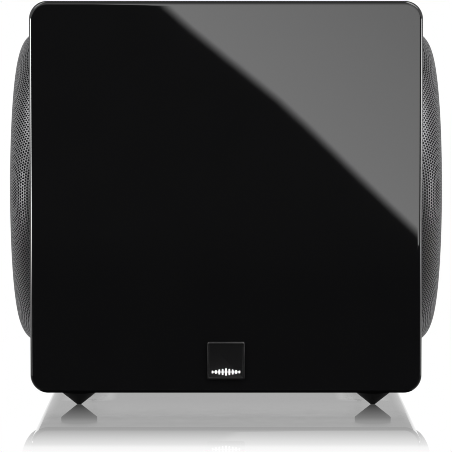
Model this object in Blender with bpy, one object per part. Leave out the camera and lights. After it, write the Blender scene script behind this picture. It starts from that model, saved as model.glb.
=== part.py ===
"""A compact sealed subwoofer: a glossy cube with an 8 inch driver in each side and its amplifier in the back.

Metres, +Z up. The front faces -Y and the origin is on the floor, under the middle of the whole object.
Left is -X, right is +X. Each driver is turned about its own axis empty, whose local +Z points outwards.
"""

import math

import bmesh
import bpy

MM = 0.001
GAP = 0.3 * MM  # left between pieces that touch

# Cabinet
SIDE = 272 * MM  # width, depth and height of the box
HALF = SIDE / 2
WALL = 20 * MM
EDGE_RADIUS = 12.5 * MM  # the four edges that run from front to back
RIM_RADIUS = 2.3 * MM  # the edges around the front and the back
FOOT_HEIGHT = 12 * MM
BADGE_PROUD = 2 * MM
REAR_PROUD = 9 * MM
MIDDLE_Y = (BADGE_PROUD - REAR_PROUD) / 2
FRONT_Y = MIDDLE_Y - HALF
REAR_Y = MIDDLE_Y + HALF
FLOOR_Z = FOOT_HEIGHT
TOP_Z = FOOT_HEIGHT + SIDE
AXIS_Z = FOOT_HEIGHT + HALF
LEDGE = 6 * MM  # how far the rear panel laps over the wall around it
CAVITY = SIDE - 2 * WALL
LAPPED = CAVITY + 2 * LEDGE

# Feet
STUD_RADIUS = 3 * MM
STUD_LENGTH = 14 * MM
STUD_HOLE_RADIUS = 3.4 * MM
STUD_HOLE_DEPTH = 17 * MM

# Grilles, as heights above the side wall
DOME_RADIUS = 115 * MM
DOME_RISE = 20 * MM
DOME_CROWN = 3.0  # twice the radius, in metres, of the shallow crown
DOME_SHOULDER = (13, 1 / 1.9)
DOME_SKIN = 1.2 * MM
DOME_STEPS = (0, 0.5, 0.78, 0.9, 0.96)  # shares of the radius, closer together round the shoulder
LINING_GAP = 0.5 * MM
LINING_SKIN = 0.5 * MM

# The openings for the drivers: radii, and distances from the cabinet's middle along the axis of each
THROAT_RADIUS = 94 * MM
SEAT_RADIUS = 105.3 * MM
SEAT = HALF - 13.5 * MM
RING_SEAT_RADIUS = 113 * MM
RING_SEAT = HALF - 3 * MM

# Drivers, from the flange inwards along the axis of each
FLANGE = SEAT + 1.8 * MM
FLANGE_RADIUS = 104 * MM
FLANGE_THICK = 4 * MM
LIP = FLANGE + 4.8 * MM  # the plane on which the surround is glued
SPIDER_LEVEL = FLANGE - 27.5 * MM
SPIDER_RADIUS = 70.6 * MM
SHELF_RADIUS = 66 * MM  # inner edge of the shelf that holds the spider
SHELF_THICK = 3 * MM
BASE_TOP = SPIDER_LEVEL - 15.8 * MM
BASE_THICK = 4 * MM
BASE_HOLE_RADIUS = 34 * MM
BASE_RADIUS = 61.4 * MM
MOUTH_RADIUS = 92.2 * MM
BASKET_SKIN = 2.5 * MM
WINDOWS = 6
WINDOW_SPREAD = math.radians(36)

SURROUND_INNER = 76.5 * MM
SURROUND_OUTER = 103 * MM
ROLL_INNER = 80.6 * MM
ROLL_OUTER = 98.6 * MM
CLOTH_THICK = 1.2 * MM

CONE_RADIUS = 79.6 * MM
CONE_NECK = LIP - 28.1 * MM
CONE_DEPTH = 26.4 * MM
CONE_BEND = 0.93  # less than one makes the cone steeper at its neck
CONE_SKIN = 1.4 * MM
CAP_RADIUS = 36 * MM
CAP_RISE = 10 * MM
CAP_SKIN = 1 * MM
COIL_RADIUS = 25 * MM
FORMER_SKIN = 0.6 * MM
NECK_RADIUS = COIL_RADIUS + 0.9 * MM
WINDING_THICK = 1.1 * MM
WINDING_HEIGHT = 26 * MM

PLATE_TOP = BASE_TOP - 4.3 * MM
MAGNET_TOP = PLATE_TOP - 8 * MM
MAGNET_BOTTOM = MAGNET_TOP - 22.7 * MM
YOKE_BOTTOM = MAGNET_BOTTOM - 11 * MM
TOP_PLATE_RADIUS = 60 * MM
TOP_PLATE_HOLE = 27.9 * MM
MAGNET_RADIUS = 65 * MM
MAGNET_HOLE = 31 * MM
YOKE_RADIUS = 62 * MM
POLE_RADIUS = COIL_RADIUS - 0.7 * MM
VENT_RADIUS = 7 * MM
MOTOR_CHAMFER = 1.5 * MM

# Amplifier plate, in the plane of the back
PLATE_SIZE = (190 * MM, 200 * MM)
PLATE_CENTRE = (0, FLOOR_Z + 130 * MM)
PLATE_THICK = 3 * MM
PLATE_CORNER = 6 * MM
SEAL_THICK = 1.5 * MM
SEAL_WIDTH = 11 * MM
CUTOUT_MARGIN = 12 * MM
PLATE_BACK = REAR_Y - PLATE_THICK

# Places on the plate: (x, z)
LEVEL_KNOB = (55 * MM, 212 * MM)
CROSSOVER_KNOB = (8 * MM, 212 * MM)
PHASE_SWITCH = (-34 * MM, 212 * MM)
MODE_SWITCH = (-64 * MM, 212 * MM)
JACK_LEFT = (62 * MM, 156 * MM)
JACK_RIGHT = (42 * MM, 156 * MM)
TRIGGER_JACK = (12 * MM, 156 * MM)
SERVICE_PORT = (-14 * MM, 156 * MM)
SYNC_BUTTON = (-40 * MM, 156 * MM)
STATUS_LIGHT = (-66 * MM, 156 * MM)
INLET = (-52 * MM, 84 * MM)
ROCKER = (-8 * MM, 84 * MM)
FINS = (54 * MM, 84 * MM)

KNOB_RADIUS = 12 * MM
KNOB_FLUTES = 20
SHAFT_RADIUS = 3 * MM
SHAFT_LENGTH = 15 * MM
JACK_BARREL = 4.1 * MM
JACK_BORE = 1.7 * MM
TRIGGER_BARREL = 3.3 * MM
TRIGGER_BORE = 1.8 * MM
PORT_SIZE = (9 * MM, 3.8 * MM)
INLET_MOUTH = (24.6 * MM, 16.8 * MM)
ROCKER_SIZE = (13 * MM, 18.4 * MM)
ROCKER_TILT = math.radians(8)
ROCKER_PIVOT_Y = REAR_Y - 0.6 * MM
BUTTON_RADIUS = 3 * MM
BUTTON_FOOT = 1.2 * MM
LIGHT_RADIUS = 1.6 * MM
BOARD_THICK = 1.6 * MM
CONTROL_BOARD_Y = REAR_Y - 17 * MM
AMP_BOARD_Y = REAR_Y - 32 * MM

ROUND_LARGE = 36  # sides of the grilles and of the openings behind them
ROUND = 28
ROUND_SMALL = 20
SMOOTH_BELOW = math.radians(35)

SIDES = {"left": -1, "right": 1}


# ---------------------------------------------------------------- tools


def clear_scene():
    for obj in list(bpy.data.objects):
        bpy.data.objects.remove(obj, do_unlink=True)


def finish(name, colour, roughness, metallic=0.0):
    """A Principled material."""
    material = bpy.data.materials.new(name)
    material.use_nodes = True
    shader = material.node_tree.nodes["Principled BSDF"]
    shader.inputs["Base Color"].default_value = (*colour, 1.0)
    shader.inputs["Roughness"].default_value = roughness
    shader.inputs["Metallic"].default_value = metallic
    return material


def place(name, bm, material, parent=None, location=(0, 0, 0), rotation=(0, 0, 0)):
    """Turns a bmesh into a named object with smooth sides and crisp edges."""
    bmesh.ops.recalc_face_normals(bm, faces=bm.faces)
    mesh = bpy.data.meshes.new(name)
    bm.to_mesh(mesh)
    bm.free()
    mesh.shade_smooth()
    mesh.set_sharp_from_angle(angle=SMOOTH_BELOW)
    if material:
        mesh.materials.append(material)
    obj = bpy.data.objects.new(name, mesh)
    obj.parent = parent
    obj.location = location
    obj.rotation_euler = rotation
    bpy.context.scene.collection.objects.link(obj)
    return obj


def empty(name, location, rotation=(0, 0, 0)):
    obj = bpy.data.objects.new(name, None)
    obj.location = location
    obj.rotation_euler = rotation
    bpy.context.scene.collection.objects.link(obj)
    return obj


def boolean(obj, tool, operation="DIFFERENCE"):
    """Cuts obj with tool, or joins tool to it, and makes tool a guide that is no piece itself."""
    tool.hide_render = True
    tool.display_type = "WIRE"
    modifier = obj.modifiers.new(f"{operation.lower()}_{tool.name}", "BOOLEAN")
    modifier.operation = operation
    modifier.object = tool
    modifier.solver = "EXACT"
    return obj


def turn(profile, segments):
    """A body of revolution about Z, from a closed loop of (radius, height) points."""
    bm = bmesh.new()
    verts = [bm.verts.new((radius, 0, height)) for radius, height in profile]
    for first, second in zip(verts, verts[1:] + verts[:1]):
        if first.co.x > 0 or second.co.x > 0:
            bm.edges.new((first, second))
    bmesh.ops.spin(
        bm,
        geom=bm.verts[:] + bm.edges[:],
        cent=(0, 0, 0),
        axis=(0, 0, 1),
        angle=math.tau,
        steps=segments,
        use_merge=True,
    )
    bmesh.ops.remove_doubles(bm, verts=bm.verts[:], dist=0.001 * MM)
    return bm


def turned(name, profile, material, parent=None, segments=ROUND, **placing):
    return place(name, turn(profile, segments), material, parent, **placing)


def tube(inner, outer, low, high):
    """The profile of a plain ring or tube."""
    return [(inner, low), (outer, low), (outer, high), (inner, high)]


def add_loft(bm, rings):
    """Adds a closed body through rings of points, with a flat cap at each end."""
    loops = [[bm.verts.new(point) for point in ring] for ring in rings]
    for near, far in zip(loops, loops[1:]):
        for i in range(len(near)):
            j = (i + 1) % len(near)
            bm.faces.new((near[i], near[j], far[j], far[i]))
    bm.faces.new(loops[0])
    bm.faces.new(loops[-1])


def lofted(name, rings, material, parent=None, **placing):
    bm = bmesh.new()
    add_loft(bm, rings)
    return place(name, bm, material, parent, **placing)


def at(outline, y):
    """An outline of (x, z) points as a ring at depth y."""
    return [(x, y, z) for x, z in outline]


def prisms(name, outlines, near, far, material=None):
    """One object with a prism for each outline, between two depths."""
    bm = bmesh.new()
    for outline in outlines:
        add_loft(bm, [at(outline, near), at(outline, far)])
    return place(name, bm, material)


def circle(centre, radius, count=ROUND_SMALL):
    return [
        (
            centre[0] + radius * math.cos(math.tau * i / count),
            centre[1] + radius * math.sin(math.tau * i / count),
        )
        for i in range(count)
    ]


def rectangle(centre, width, height, corner=0.0, steps=3):
    """A rectangle's outline, with round corners when corner is more than zero."""
    outline = []
    for quarter in range(4):
        start = quarter * math.pi / 2
        across = 1 if quarter in (0, 3) else -1
        up = 1 if quarter in (0, 1) else -1
        pivot_x = centre[0] + across * (width / 2 - corner)
        pivot_z = centre[1] + up * (height / 2 - corner)
        if corner <= 0:
            outline.append((pivot_x, pivot_z))
            continue
        for step in range(steps + 1):
            angle = start + step * math.pi / 2 / steps
            outline.append((pivot_x + corner * math.cos(angle), pivot_z + corner * math.sin(angle)))
    return outline


def grown(centre, size, extra, corner=0.0):
    """The outline of a rectangle of a given size, moved outwards by extra."""
    return rectangle(centre, size[0] + 2 * extra, size[1] + 2 * extra, corner)


# ---------------------------------------------------------------- cabinet


def box_rings():
    """Rings of the rounded box from the front face to the back face."""
    steps = 3
    rings = []
    for step in range(steps + 1):
        angle = step * math.pi / 2 / steps
        inset = RIM_RADIUS * (1 - math.sin(angle))
        depth = RIM_RADIUS * (1 - math.cos(angle))
        rings.append((inset, FRONT_Y + depth))
    rings += [(inset, FRONT_Y + REAR_Y - y) for inset, y in reversed(rings)]
    return [
        at(
            rectangle((0, AXIS_Z), SIDE - 2 * inset, SIDE - 2 * inset, EDGE_RADIUS - inset, steps=6),
            y,
        )
        for inset, y in rings
    ]


def cabinet(finishes, axes):
    """The shell, open at the back, with a stepped opening in each side and a hole for each foot's stud."""
    shell = lofted("cabinet_shell", box_rings(), finishes["lacquer"])
    narrow = rectangle((0, AXIS_Z), CAVITY, CAVITY)
    wide = rectangle((0, AXIS_Z), LAPPED, LAPPED)
    cavity = lofted(
        "cavity_cutter",
        [
            at(narrow, FRONT_Y + WALL),
            at(narrow, REAR_Y - WALL),
            at(wide, REAR_Y - WALL),
            at(wide, REAR_Y + WALL),
        ],
        None,
    )
    boolean(shell, cavity)
    for side in SIDES:
        profile = [
            (0, HALF - 2 * WALL),
            (THROAT_RADIUS, HALF - 2 * WALL),
            (THROAT_RADIUS, SEAT),
            (SEAT_RADIUS, SEAT),
            (SEAT_RADIUS, RING_SEAT),
            (RING_SEAT_RADIUS, RING_SEAT),
            (RING_SEAT_RADIUS, HALF + WALL),
            (0, HALF + WALL),
        ]
        cutter = turned(f"opening_cutter_{side}", profile, None, axes[side], ROUND_LARGE)
        boolean(shell, cutter)
    stud_holes = bmesh.new()
    for centre in foot_places().values():
        outline = circle(centre, STUD_HOLE_RADIUS, 12)
        add_loft(stud_holes, [[(x, y, z) for x, y in outline] for z in (0, FLOOR_Z + STUD_HOLE_DEPTH)])
    boolean(shell, place("stud_hole_cutter", stud_holes, None))


def rear_panel(finishes):
    """The board that closes the back, rebated and cut out for the amplifier."""
    width = LAPPED - 2 * GAP
    panel = prisms(
        "rear_panel",
        [rectangle((0, AXIS_Z), width, width)],
        REAR_Y - WALL + GAP,
        REAR_Y,
        finishes["rear_board"],
    )
    rebate_depth = PLATE_THICK + SEAL_THICK + 2 * GAP
    rebate = grown(PLATE_CENTRE, PLATE_SIZE, GAP, PLATE_CORNER)
    boolean(panel, prisms("rebate_cutter", [rebate], REAR_Y - rebate_depth, REAR_Y + WALL))
    cutout = grown(PLATE_CENTRE, PLATE_SIZE, -CUTOUT_MARGIN, PLATE_CORNER)
    boolean(panel, prisms("cutout_cutter", [cutout], REAR_Y - 2 * WALL, REAR_Y + WALL))


def window_brace(finishes):
    """A frame of board across the middle that ties the top, the bottom and the front together."""
    thick = 12 * MM
    member = 30 * MM
    front = FRONT_Y + WALL + GAP
    back = MIDDLE_Y + 44 * MM
    low = FLOOR_Z + WALL + GAP
    high = TOP_Z - WALL - GAP

    def ring(x, margin):
        return [
            (x, y, z)
            for y, z in (
                (front + margin, low + margin),
                (back - margin, low + margin),
                (back - margin, high - margin),
                (front + margin, high - margin),
            )
        ]

    brace = lofted("window_brace", [ring(-thick / 2, 0), ring(thick / 2, 0)], finishes["board"])
    boolean(brace, lofted("window_cutter", [ring(-thick, member), ring(thick, member)], None))


def foot_places():
    across = 103.7 * MM
    along = HALF - 31.5 * MM
    return {
        f"{end}_{side}": (sign * across, MIDDLE_Y + direction * along)
        for end, direction in (("front", -1), ("rear", 1))
        for side, sign in SIDES.items()
    }


def feet(finishes):
    """Four inverted cones under short collars, each with a stud that screws into the cabinet."""
    collar_radius = 12.7 * MM
    collar_bottom = FOOT_HEIGHT - 2.8 * MM
    tip_radius = 2 * MM
    profile = [
        (0, 0),
        (tip_radius, 0),
        (tip_radius + 0.8 * MM, 0.5 * MM),
        (collar_radius - 0.5 * MM, collar_bottom),
        (collar_radius, collar_bottom + 0.5 * MM),
        (collar_radius, FOOT_HEIGHT - GAP),
        (STUD_RADIUS, FOOT_HEIGHT - GAP),
        (STUD_RADIUS, FOOT_HEIGHT + STUD_LENGTH),
        (0, FOOT_HEIGHT + STUD_LENGTH),
    ]
    for name, (x, y) in foot_places().items():
        turned(f"foot_{name}", profile, finishes["foot"], segments=ROUND_SMALL, location=(x, y, 0))


def badge(finishes):
    """A square plate with a raised border, and an emblem of level bars joined by a thin line."""
    size = 26 * MM
    centre = (0, FLOOR_Z + 22.8 * MM)
    border = 1.0 * MM
    field = 0.7 * MM
    front = FRONT_Y - BADGE_PROUD
    lofted(
        "badge_plate",
        [
            at(rectangle(centre, size, size, 1.2 * MM), FRONT_Y - GAP),
            at(rectangle(centre, size, size, 1.2 * MM), front + 0.5 * MM),
            at(rectangle(centre, size - border, size - border, 0.8 * MM), front),
            at(rectangle(centre, size - 2 * border, size - 2 * border, 0.5 * MM), front),
            at(rectangle(centre, size - 2.6 * border, size - 2.6 * border, 0.4 * MM), front + field),
        ],
        finishes["badge"],
    )
    level = FLOOR_Z + 15 * MM
    width = 21 * MM
    line = 0.35 * MM
    bars = 9
    pitch = width / bars
    upper = []
    half_bar = 0.6 * MM
    tallest = 2.6 * MM
    lowest = 1.0 * MM
    for bar in range(bars):
        middle = -width / 2 + (bar + 0.5) * pitch
        away = abs(bar - bars // 2) / (bars // 2)
        tall = tallest + (lowest - tallest) * away
        upper += [
            (middle - half_bar, level + line),
            (middle - half_bar, level + tall),
            (middle + half_bar, level + tall),
            (middle + half_bar, level + line),
        ]
    lower = [(x, 2 * level - z) for x, z in reversed(upper)]
    prisms(
        "badge_emblem", [upper + lower], front + 0.1 * MM, front + field - 0.1 * MM, finishes["emblem"]
    )


# ---------------------------------------------------------------- grilles


def dome_height(radius, rim, rise):
    """Height of the domed grille over the side wall: a shallow crown with a tight round shoulder."""
    power, root = DOME_SHOULDER
    return (rise - radius**2 / DOME_CROWN) * max(0.0, 1 - (radius / rim) ** power) ** root


def dome_points(inset, shares):
    """Points of the dome inset from the outer one, at shares of its radius."""
    rim = DOME_RADIUS - inset
    return [(s * rim, HALF + dome_height(s * rim, rim, DOME_RISE - inset)) for s in shares]


def grille(side, axis, finishes):
    """The domed skin, the cloth that lines it, and the ring that holds both in the cabinet."""
    shares = DOME_STEPS + (0.99,)
    outer = dome_points(0, shares) + [(DOME_RADIUS, HALF + GAP)]
    inner = dome_points(DOME_SKIN, shares) + [(DOME_RADIUS - DOME_SKIN, HALF + GAP)]
    turned(f"grille_{side}", outer + inner[::-1], finishes["grille"], axis, ROUND_LARGE)

    shares = DOME_STEPS + (0.982,)
    cloth = dome_points(DOME_SKIN + LINING_GAP, shares)
    cloth += dome_points(DOME_SKIN + LINING_GAP + LINING_SKIN, shares)[::-1]
    turned(f"grille_lining_{side}", cloth, finishes["lining"], axis, ROUND_LARGE)

    ring = [
        (107.0 * MM, RING_SEAT + GAP),
        (112.3 * MM, RING_SEAT + GAP),
        (112.3 * MM, HALF + 3 * MM),
        (110.0 * MM, HALF + 6 * MM),
        (108.6 * MM, HALF + 6 * MM),
        (107.0 * MM, HALF + 4.5 * MM),
    ]
    turned(f"grille_ring_{side}", ring, finishes["ring"], axis, ROUND_LARGE)


# ---------------------------------------------------------------- drivers


def wall_radius(level):
    """Outer radius of the basket's sloping wall, which grows from its base to the flange."""
    low = BASE_TOP - BASE_THICK
    return BASE_RADIUS + (MOUTH_RADIUS - BASE_RADIUS) * (level - low) / (FLANGE - low)


def basket(side, axis, finishes):
    """A pressed frame: flange, sloping wall with windows, spider shelf and base."""
    shelf = SPIDER_LEVEL - GAP
    under_shelf = shelf - SHELF_THICK
    base_bottom = BASE_TOP - BASE_THICK
    throat = FLANGE - 6 * MM
    profile = [
        (FLANGE_RADIUS, FLANGE),
        (FLANGE_RADIUS, FLANGE + FLANGE_THICK),
        (88 * MM, FLANGE + FLANGE_THICK),
        (wall_radius(throat) - BASKET_SKIN, throat),
        (wall_radius(shelf) - BASKET_SKIN, shelf),
        (SHELF_RADIUS, shelf),
        (SHELF_RADIUS, under_shelf),
        (wall_radius(under_shelf) - BASKET_SKIN, under_shelf),
        (wall_radius(BASE_TOP) - BASKET_SKIN, BASE_TOP),
        (BASE_HOLE_RADIUS, BASE_TOP),
        (BASE_HOLE_RADIUS, base_bottom),
        (wall_radius(base_bottom), base_bottom),
        (wall_radius(FLANGE), FLANGE),
    ]
    body = turned(f"basket_{side}", profile, finishes["basket"], axis, ROUND)
    windows = bmesh.new()
    for window in range(WINDOWS):
        middle = math.tau * (window + 0.5) / WINDOWS
        angles = [middle + WINDOW_SPREAD * (i / 3 - 0.5) for i in range(4)]
        sector = [(68 * MM, a) for a in angles] + [(100 * MM, a) for a in reversed(angles)]
        levels = (shelf + 3 * MM, FLANGE - 7 * MM)
        add_loft(windows, [[(r * math.cos(a), r * math.sin(a), z) for r, a in sector] for z in levels])
    boolean(body, place(f"basket_window_cutter_{side}", windows, None, axis))


def half_roll(radius, level, steps=4):
    """Points of a half circle over the middle of the surround, from its inner end to its outer."""
    middle = (ROLL_INNER + ROLL_OUTER) / 2
    angles = [math.pi * (1 - step / steps) for step in range(steps + 1)]
    return [(middle + radius * math.cos(a), level + radius * math.sin(a)) for a in angles]


def suspension(side, axis, finishes):
    """The rubber half roll around the cone, and the pleated cloth spider around its neck."""
    low = LIP - 0.4 * MM + GAP
    high = low + CLOTH_THICK
    radius = (ROLL_OUTER - ROLL_INNER) / 2
    surround = [(SURROUND_INNER, low), (SURROUND_INNER, high)]
    surround += half_roll(radius, high)
    surround += [(SURROUND_OUTER, high), (SURROUND_OUTER, low)]
    surround += half_roll(radius - CLOTH_THICK, low)[::-1]
    turned(f"surround_{side}", surround, finishes["rubber"], axis, ROUND)

    pleat = 2.4 * MM
    pleats = [
        (NECK_RADIUS, 0),
        (32 * MM, 0),
        (37 * MM, pleat),
        (46 * MM, -pleat),
        (55 * MM, pleat),
        (SHELF_RADIUS, 0),
        (SPIDER_RADIUS, 0),
    ]
    top = [(x, SPIDER_LEVEL + z + CLOTH_THICK) for x, z in pleats]
    bottom = [(x, SPIDER_LEVEL + z) for x, z in pleats]
    turned(f"spider_{side}", top + bottom[::-1], finishes["spider"], axis, ROUND_SMALL)


def moving_parts(side, axis, finishes):
    """Cone, dust cap, coil former and voice coil, which slide in and out as one."""
    steps = 3
    back = []
    for step in range(steps + 1):
        share = step / steps
        radius = NECK_RADIUS + (CONE_RADIUS - NECK_RADIUS) * share
        back.append((radius, CONE_NECK + CONE_DEPTH * share**CONE_BEND))
    front = [(x, z + CONE_SKIN) for x, z in back]
    turned(f"cone_{side}", back + front[::-1], finishes["cone"], axis, ROUND)

    seat = CONE_NECK + 8.2 * MM
    under = [(s * CAP_RADIUS, seat + CAP_RISE * (1 - s * s)) for s in (0, 0.4, 0.7, 0.9, 1)]
    over = [(x, z + CAP_SKIN) for x, z in under]
    turned(f"dust_cap_{side}", over + under[::-1], finishes["cap"], axis, ROUND_SMALL)

    former_low = MAGNET_BOTTOM + 10.5 * MM
    former_high = CONE_NECK + 3 * MM
    former_outer = COIL_RADIUS + FORMER_SKIN
    former = tube(COIL_RADIUS, former_outer, former_low, former_high)
    turned(f"coil_former_{side}", former, finishes["former"], axis, ROUND_SMALL)

    inner = former_outer + GAP
    gap_middle = PLATE_TOP - 4 * MM
    low = gap_middle - WINDING_HEIGHT / 2
    winding = tube(inner, inner + WINDING_THICK, low, low + WINDING_HEIGHT)
    turned(f"voice_coil_{side}", winding, finishes["copper"], axis, ROUND_SMALL)


def motor(side, axis, finishes):
    """Top plate, ring magnet, and back plate with its vented pole."""
    top_plate = tube(TOP_PLATE_HOLE, TOP_PLATE_RADIUS, MAGNET_TOP + GAP, PLATE_TOP)
    turned(f"top_plate_{side}", top_plate, finishes["steel"], axis, ROUND_SMALL)
    low = MAGNET_BOTTOM + GAP
    magnet = [
        (MAGNET_HOLE, low),
        (MAGNET_RADIUS - MOTOR_CHAMFER, low),
        (MAGNET_RADIUS, low + MOTOR_CHAMFER),
        (MAGNET_RADIUS, MAGNET_TOP - MOTOR_CHAMFER),
        (MAGNET_RADIUS - MOTOR_CHAMFER, MAGNET_TOP),
        (MAGNET_HOLE, MAGNET_TOP),
    ]
    turned(f"magnet_{side}", magnet, finishes["ferrite"], axis, ROUND_SMALL)
    yoke = [
        (VENT_RADIUS, YOKE_BOTTOM),
        (YOKE_RADIUS - 2 * MOTOR_CHAMFER, YOKE_BOTTOM),
        (YOKE_RADIUS, YOKE_BOTTOM + 2 * MOTOR_CHAMFER),
        (YOKE_RADIUS, MAGNET_BOTTOM),
        (POLE_RADIUS, MAGNET_BOTTOM),
        (POLE_RADIUS, PLATE_TOP),
        (VENT_RADIUS, PLATE_TOP),
    ]
    turned(f"back_plate_{side}", yoke, finishes["steel"], axis, ROUND_SMALL)


def driver(side, axis, finishes):
    gasket = tube(THROAT_RADIUS + 0.5 * MM, FLANGE_RADIUS, SEAT + GAP, FLANGE - GAP)
    turned(f"driver_gasket_{side}", gasket, finishes["foam"], axis, ROUND)
    basket(side, axis, finishes)
    suspension(side, axis, finishes)
    moving_parts(side, axis, finishes)
    motor(side, axis, finishes)


# ---------------------------------------------------------------- amplifier


def amp_plate(finishes):
    """The aluminium plate that carries the amplifier, with a cut-out for each fitting."""
    outline = rectangle(PLATE_CENTRE, *PLATE_SIZE, PLATE_CORNER)
    plate = prisms("amp_plate", [outline], PLATE_BACK, REAR_Y, finishes["plate"])
    cutouts = [
        circle(LEVEL_KNOB, SHAFT_RADIUS + 0.6 * MM, 16),
        circle(CROSSOVER_KNOB, SHAFT_RADIUS + 0.6 * MM, 16),
        rectangle(PHASE_SWITCH, 10.2 * MM, 4.6 * MM),
        rectangle(MODE_SWITCH, 13.2 * MM, 4.6 * MM),
        circle(JACK_LEFT, JACK_BARREL + 0.3 * MM, 16),
        circle(JACK_RIGHT, JACK_BARREL + 0.3 * MM, 16),
        circle(TRIGGER_JACK, TRIGGER_BARREL + 0.3 * MM, 16),
        grown(SERVICE_PORT, PORT_SIZE, 0.3 * MM),
        circle(SYNC_BUTTON, BUTTON_RADIUS + 0.4 * MM, 16),
        circle(STATUS_LIGHT, LIGHT_RADIUS + 0.3 * MM, 12),
        grown(INLET, INLET_MOUTH, 2.3 * MM),
        grown(ROCKER, ROCKER_SIZE, 2.3 * MM),
    ]
    boolean(plate, prisms("plate_cutter", cutouts, PLATE_BACK - WALL, REAR_Y + WALL))

    seal_front = PLATE_BACK - GAP
    seal = prisms("amp_gasket", [outline], seal_front - SEAL_THICK, seal_front, finishes["foam"])
    opening = grown(PLATE_CENTRE, PLATE_SIZE, -SEAL_WIDTH, PLATE_CORNER)
    boolean(seal, prisms("seal_cutter", [opening], PLATE_BACK - WALL, REAR_Y))


def fin_block(finishes):
    """A row of upright cooling fins on a thin base, outside the plate."""
    width = 64 * MM
    height = 60 * MM
    base = 1.4 * MM
    proud = 5 * MM
    fins = 9
    fin_width = 3.2 * MM
    near = REAR_Y + GAP
    pitch = (width - fin_width) / (fins - 1)
    outline = [(FINS[0] - width / 2, near), (FINS[0] + width / 2, near)]
    for fin in reversed(range(fins)):
        left = FINS[0] - width / 2 + fin * pitch
        outline += [(left + fin_width, near + proud), (left, near + proud)]
        if fin:
            outline += [(left, near + base), (left - pitch + fin_width, near + base)]
    levels = (FINS[1] - height / 2, FINS[1] + height / 2)
    lofted("fin_block", [[(x, y, z) for x, y in outline] for z in levels], finishes["plate"])


def heat_spreader(finishes):
    """An angle of thick aluminium between the plate and the amplifier board."""
    near = PLATE_BACK - GAP
    thick = 4 * MM
    left, right = FINS[0] - 30 * MM, FINS[0] + 25 * MM
    low = FINS[1] - 28 * MM
    high = FINS[1] + 28 * MM
    foot_y = AMP_BOARD_Y + 2 * MM
    section = [
        (near, low),
        (near, high),
        (near - thick, high),
        (near - thick, low + thick),
        (foot_y, low + thick),
        (foot_y, low),
    ]
    lofted("heat_spreader", [[(x, y, z) for y, z in section] for x in (left, right)], finishes["bare"])


def board(name, centre, size, front, blocks, finishes):
    """A circuit board with its components as blocks: (x, z, width, height, tall) in millimetres.

    Each block is placed from the board's centre. One less than zero tall is on the board's inner face.
    """
    back = front - BOARD_THICK
    body = prisms(name, [rectangle(centre, *size)], back, front, finishes["circuit"])
    parts = bmesh.new()
    for x, z, width, height, tall in blocks:
        outline = rectangle((centre[0] + x * MM, centre[1] + z * MM), width * MM, height * MM)
        far = (front if tall > 0 else back) + tall * MM
        add_loft(parts, [at(outline, (front + back) / 2), at(outline, far)])
    boolean(body, place(f"{name}_components", parts, None), "UNION")


def boards(finishes):
    """The board behind the controls, and the amplifier board across the cut-out."""
    board(
        "control_board",
        (0, LEVEL_KNOB[1]),
        (150 * MM, 26 * MM),
        CONTROL_BOARD_Y,
        [(55, 0, 16, 16, -6), (8, 0, 16, 16, -6), (-34, 0, 16, 9, 7), (-64, 0, 18, 9, 7)],
        finishes,
    )
    board(
        "amp_board",
        (0, 115 * MM),
        (144 * MM, 112 * MM),
        AMP_BOARD_Y,
        [
            (-50, -36, 26, 24, -14),
            (-50, 42, 22, 14, -9),
            (52, 36, 18, 18, -12),
            (50, -10, 24, 30, -8),
            (-54, 14, 16, 22, -10),
        ],
        finishes,
    )


def power_parts(finishes):
    """A ring transformer and two reservoir capacitors on the amplifier board."""
    seat = AMP_BOARD_Y - BOARD_THICK - GAP
    into = (math.pi / 2, 0, 0)
    ring = [
        (10 * MM, 4 * MM),
        (14 * MM, 0),
        (27 * MM, 0),
        (31 * MM, 4 * MM),
        (31 * MM, 22 * MM),
        (27 * MM, 26 * MM),
        (14 * MM, 26 * MM),
        (10 * MM, 22 * MM),
    ]
    turned(
        "power_transformer",
        ring,
        finishes["copper"],
        segments=ROUND_SMALL,
        location=(0, seat, 98 * MM),
        rotation=into,
    )
    can = [(0, 0), (11 * MM, 0), (11 * MM, 29 * MM), (10 * MM, 30 * MM), (0, 30 * MM)]
    for side, sign in SIDES.items():
        turned(
            f"capacitor_{side}",
            can,
            finishes["can"],
            segments=16,
            location=(sign * 14 * MM, seat, 146 * MM),
            rotation=into,
        )


def mains_inlet(finishes):
    """A flanged socket with a keyed recess and three flat pins."""
    near = REAR_Y + GAP
    flange = 2 * MM
    deep = 17 * MM
    rim = 1.7 * MM
    body = lofted(
        "mains_inlet",
        [
            at(grown(INLET, INLET_MOUTH, 3.4 * MM), near + flange),
            at(grown(INLET, INLET_MOUTH, 4.4 * MM), near + flange - 1 * MM),
            at(grown(INLET, INLET_MOUTH, 4.4 * MM), near),
            at(grown(INLET, INLET_MOUTH, rim), near),
            at(grown(INLET, INLET_MOUTH, rim), near + flange - deep - 2 * MM),
        ],
        finishes["moulding"],
    )
    half_wide = INLET_MOUTH[0] / 2
    half_high = INLET_MOUTH[1] / 2
    key = 5 * MM
    keyed = [
        (half_wide, half_high),
        (-half_wide, half_high),
        (-half_wide, key - half_high),
        (key - half_wide, -half_high),
        (half_wide - key, -half_high),
        (half_wide, key - half_high),
    ]
    keyed = [(INLET[0] + x, INLET[1] + z) for x, z in keyed]
    floor = near + flange - deep
    boolean(body, prisms("recess_cutter", [keyed], floor, near + WALL))
    pins = [(-7, 2), (0, -2), (7, 2)]
    outlines = [rectangle((INLET[0] + x * MM, INLET[1] + z * MM), 2 * MM, 4 * MM) for x, z in pins]
    boolean(body, prisms("inlet_pins", outlines, floor - 1 * MM, floor + 11 * MM), "UNION")


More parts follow.
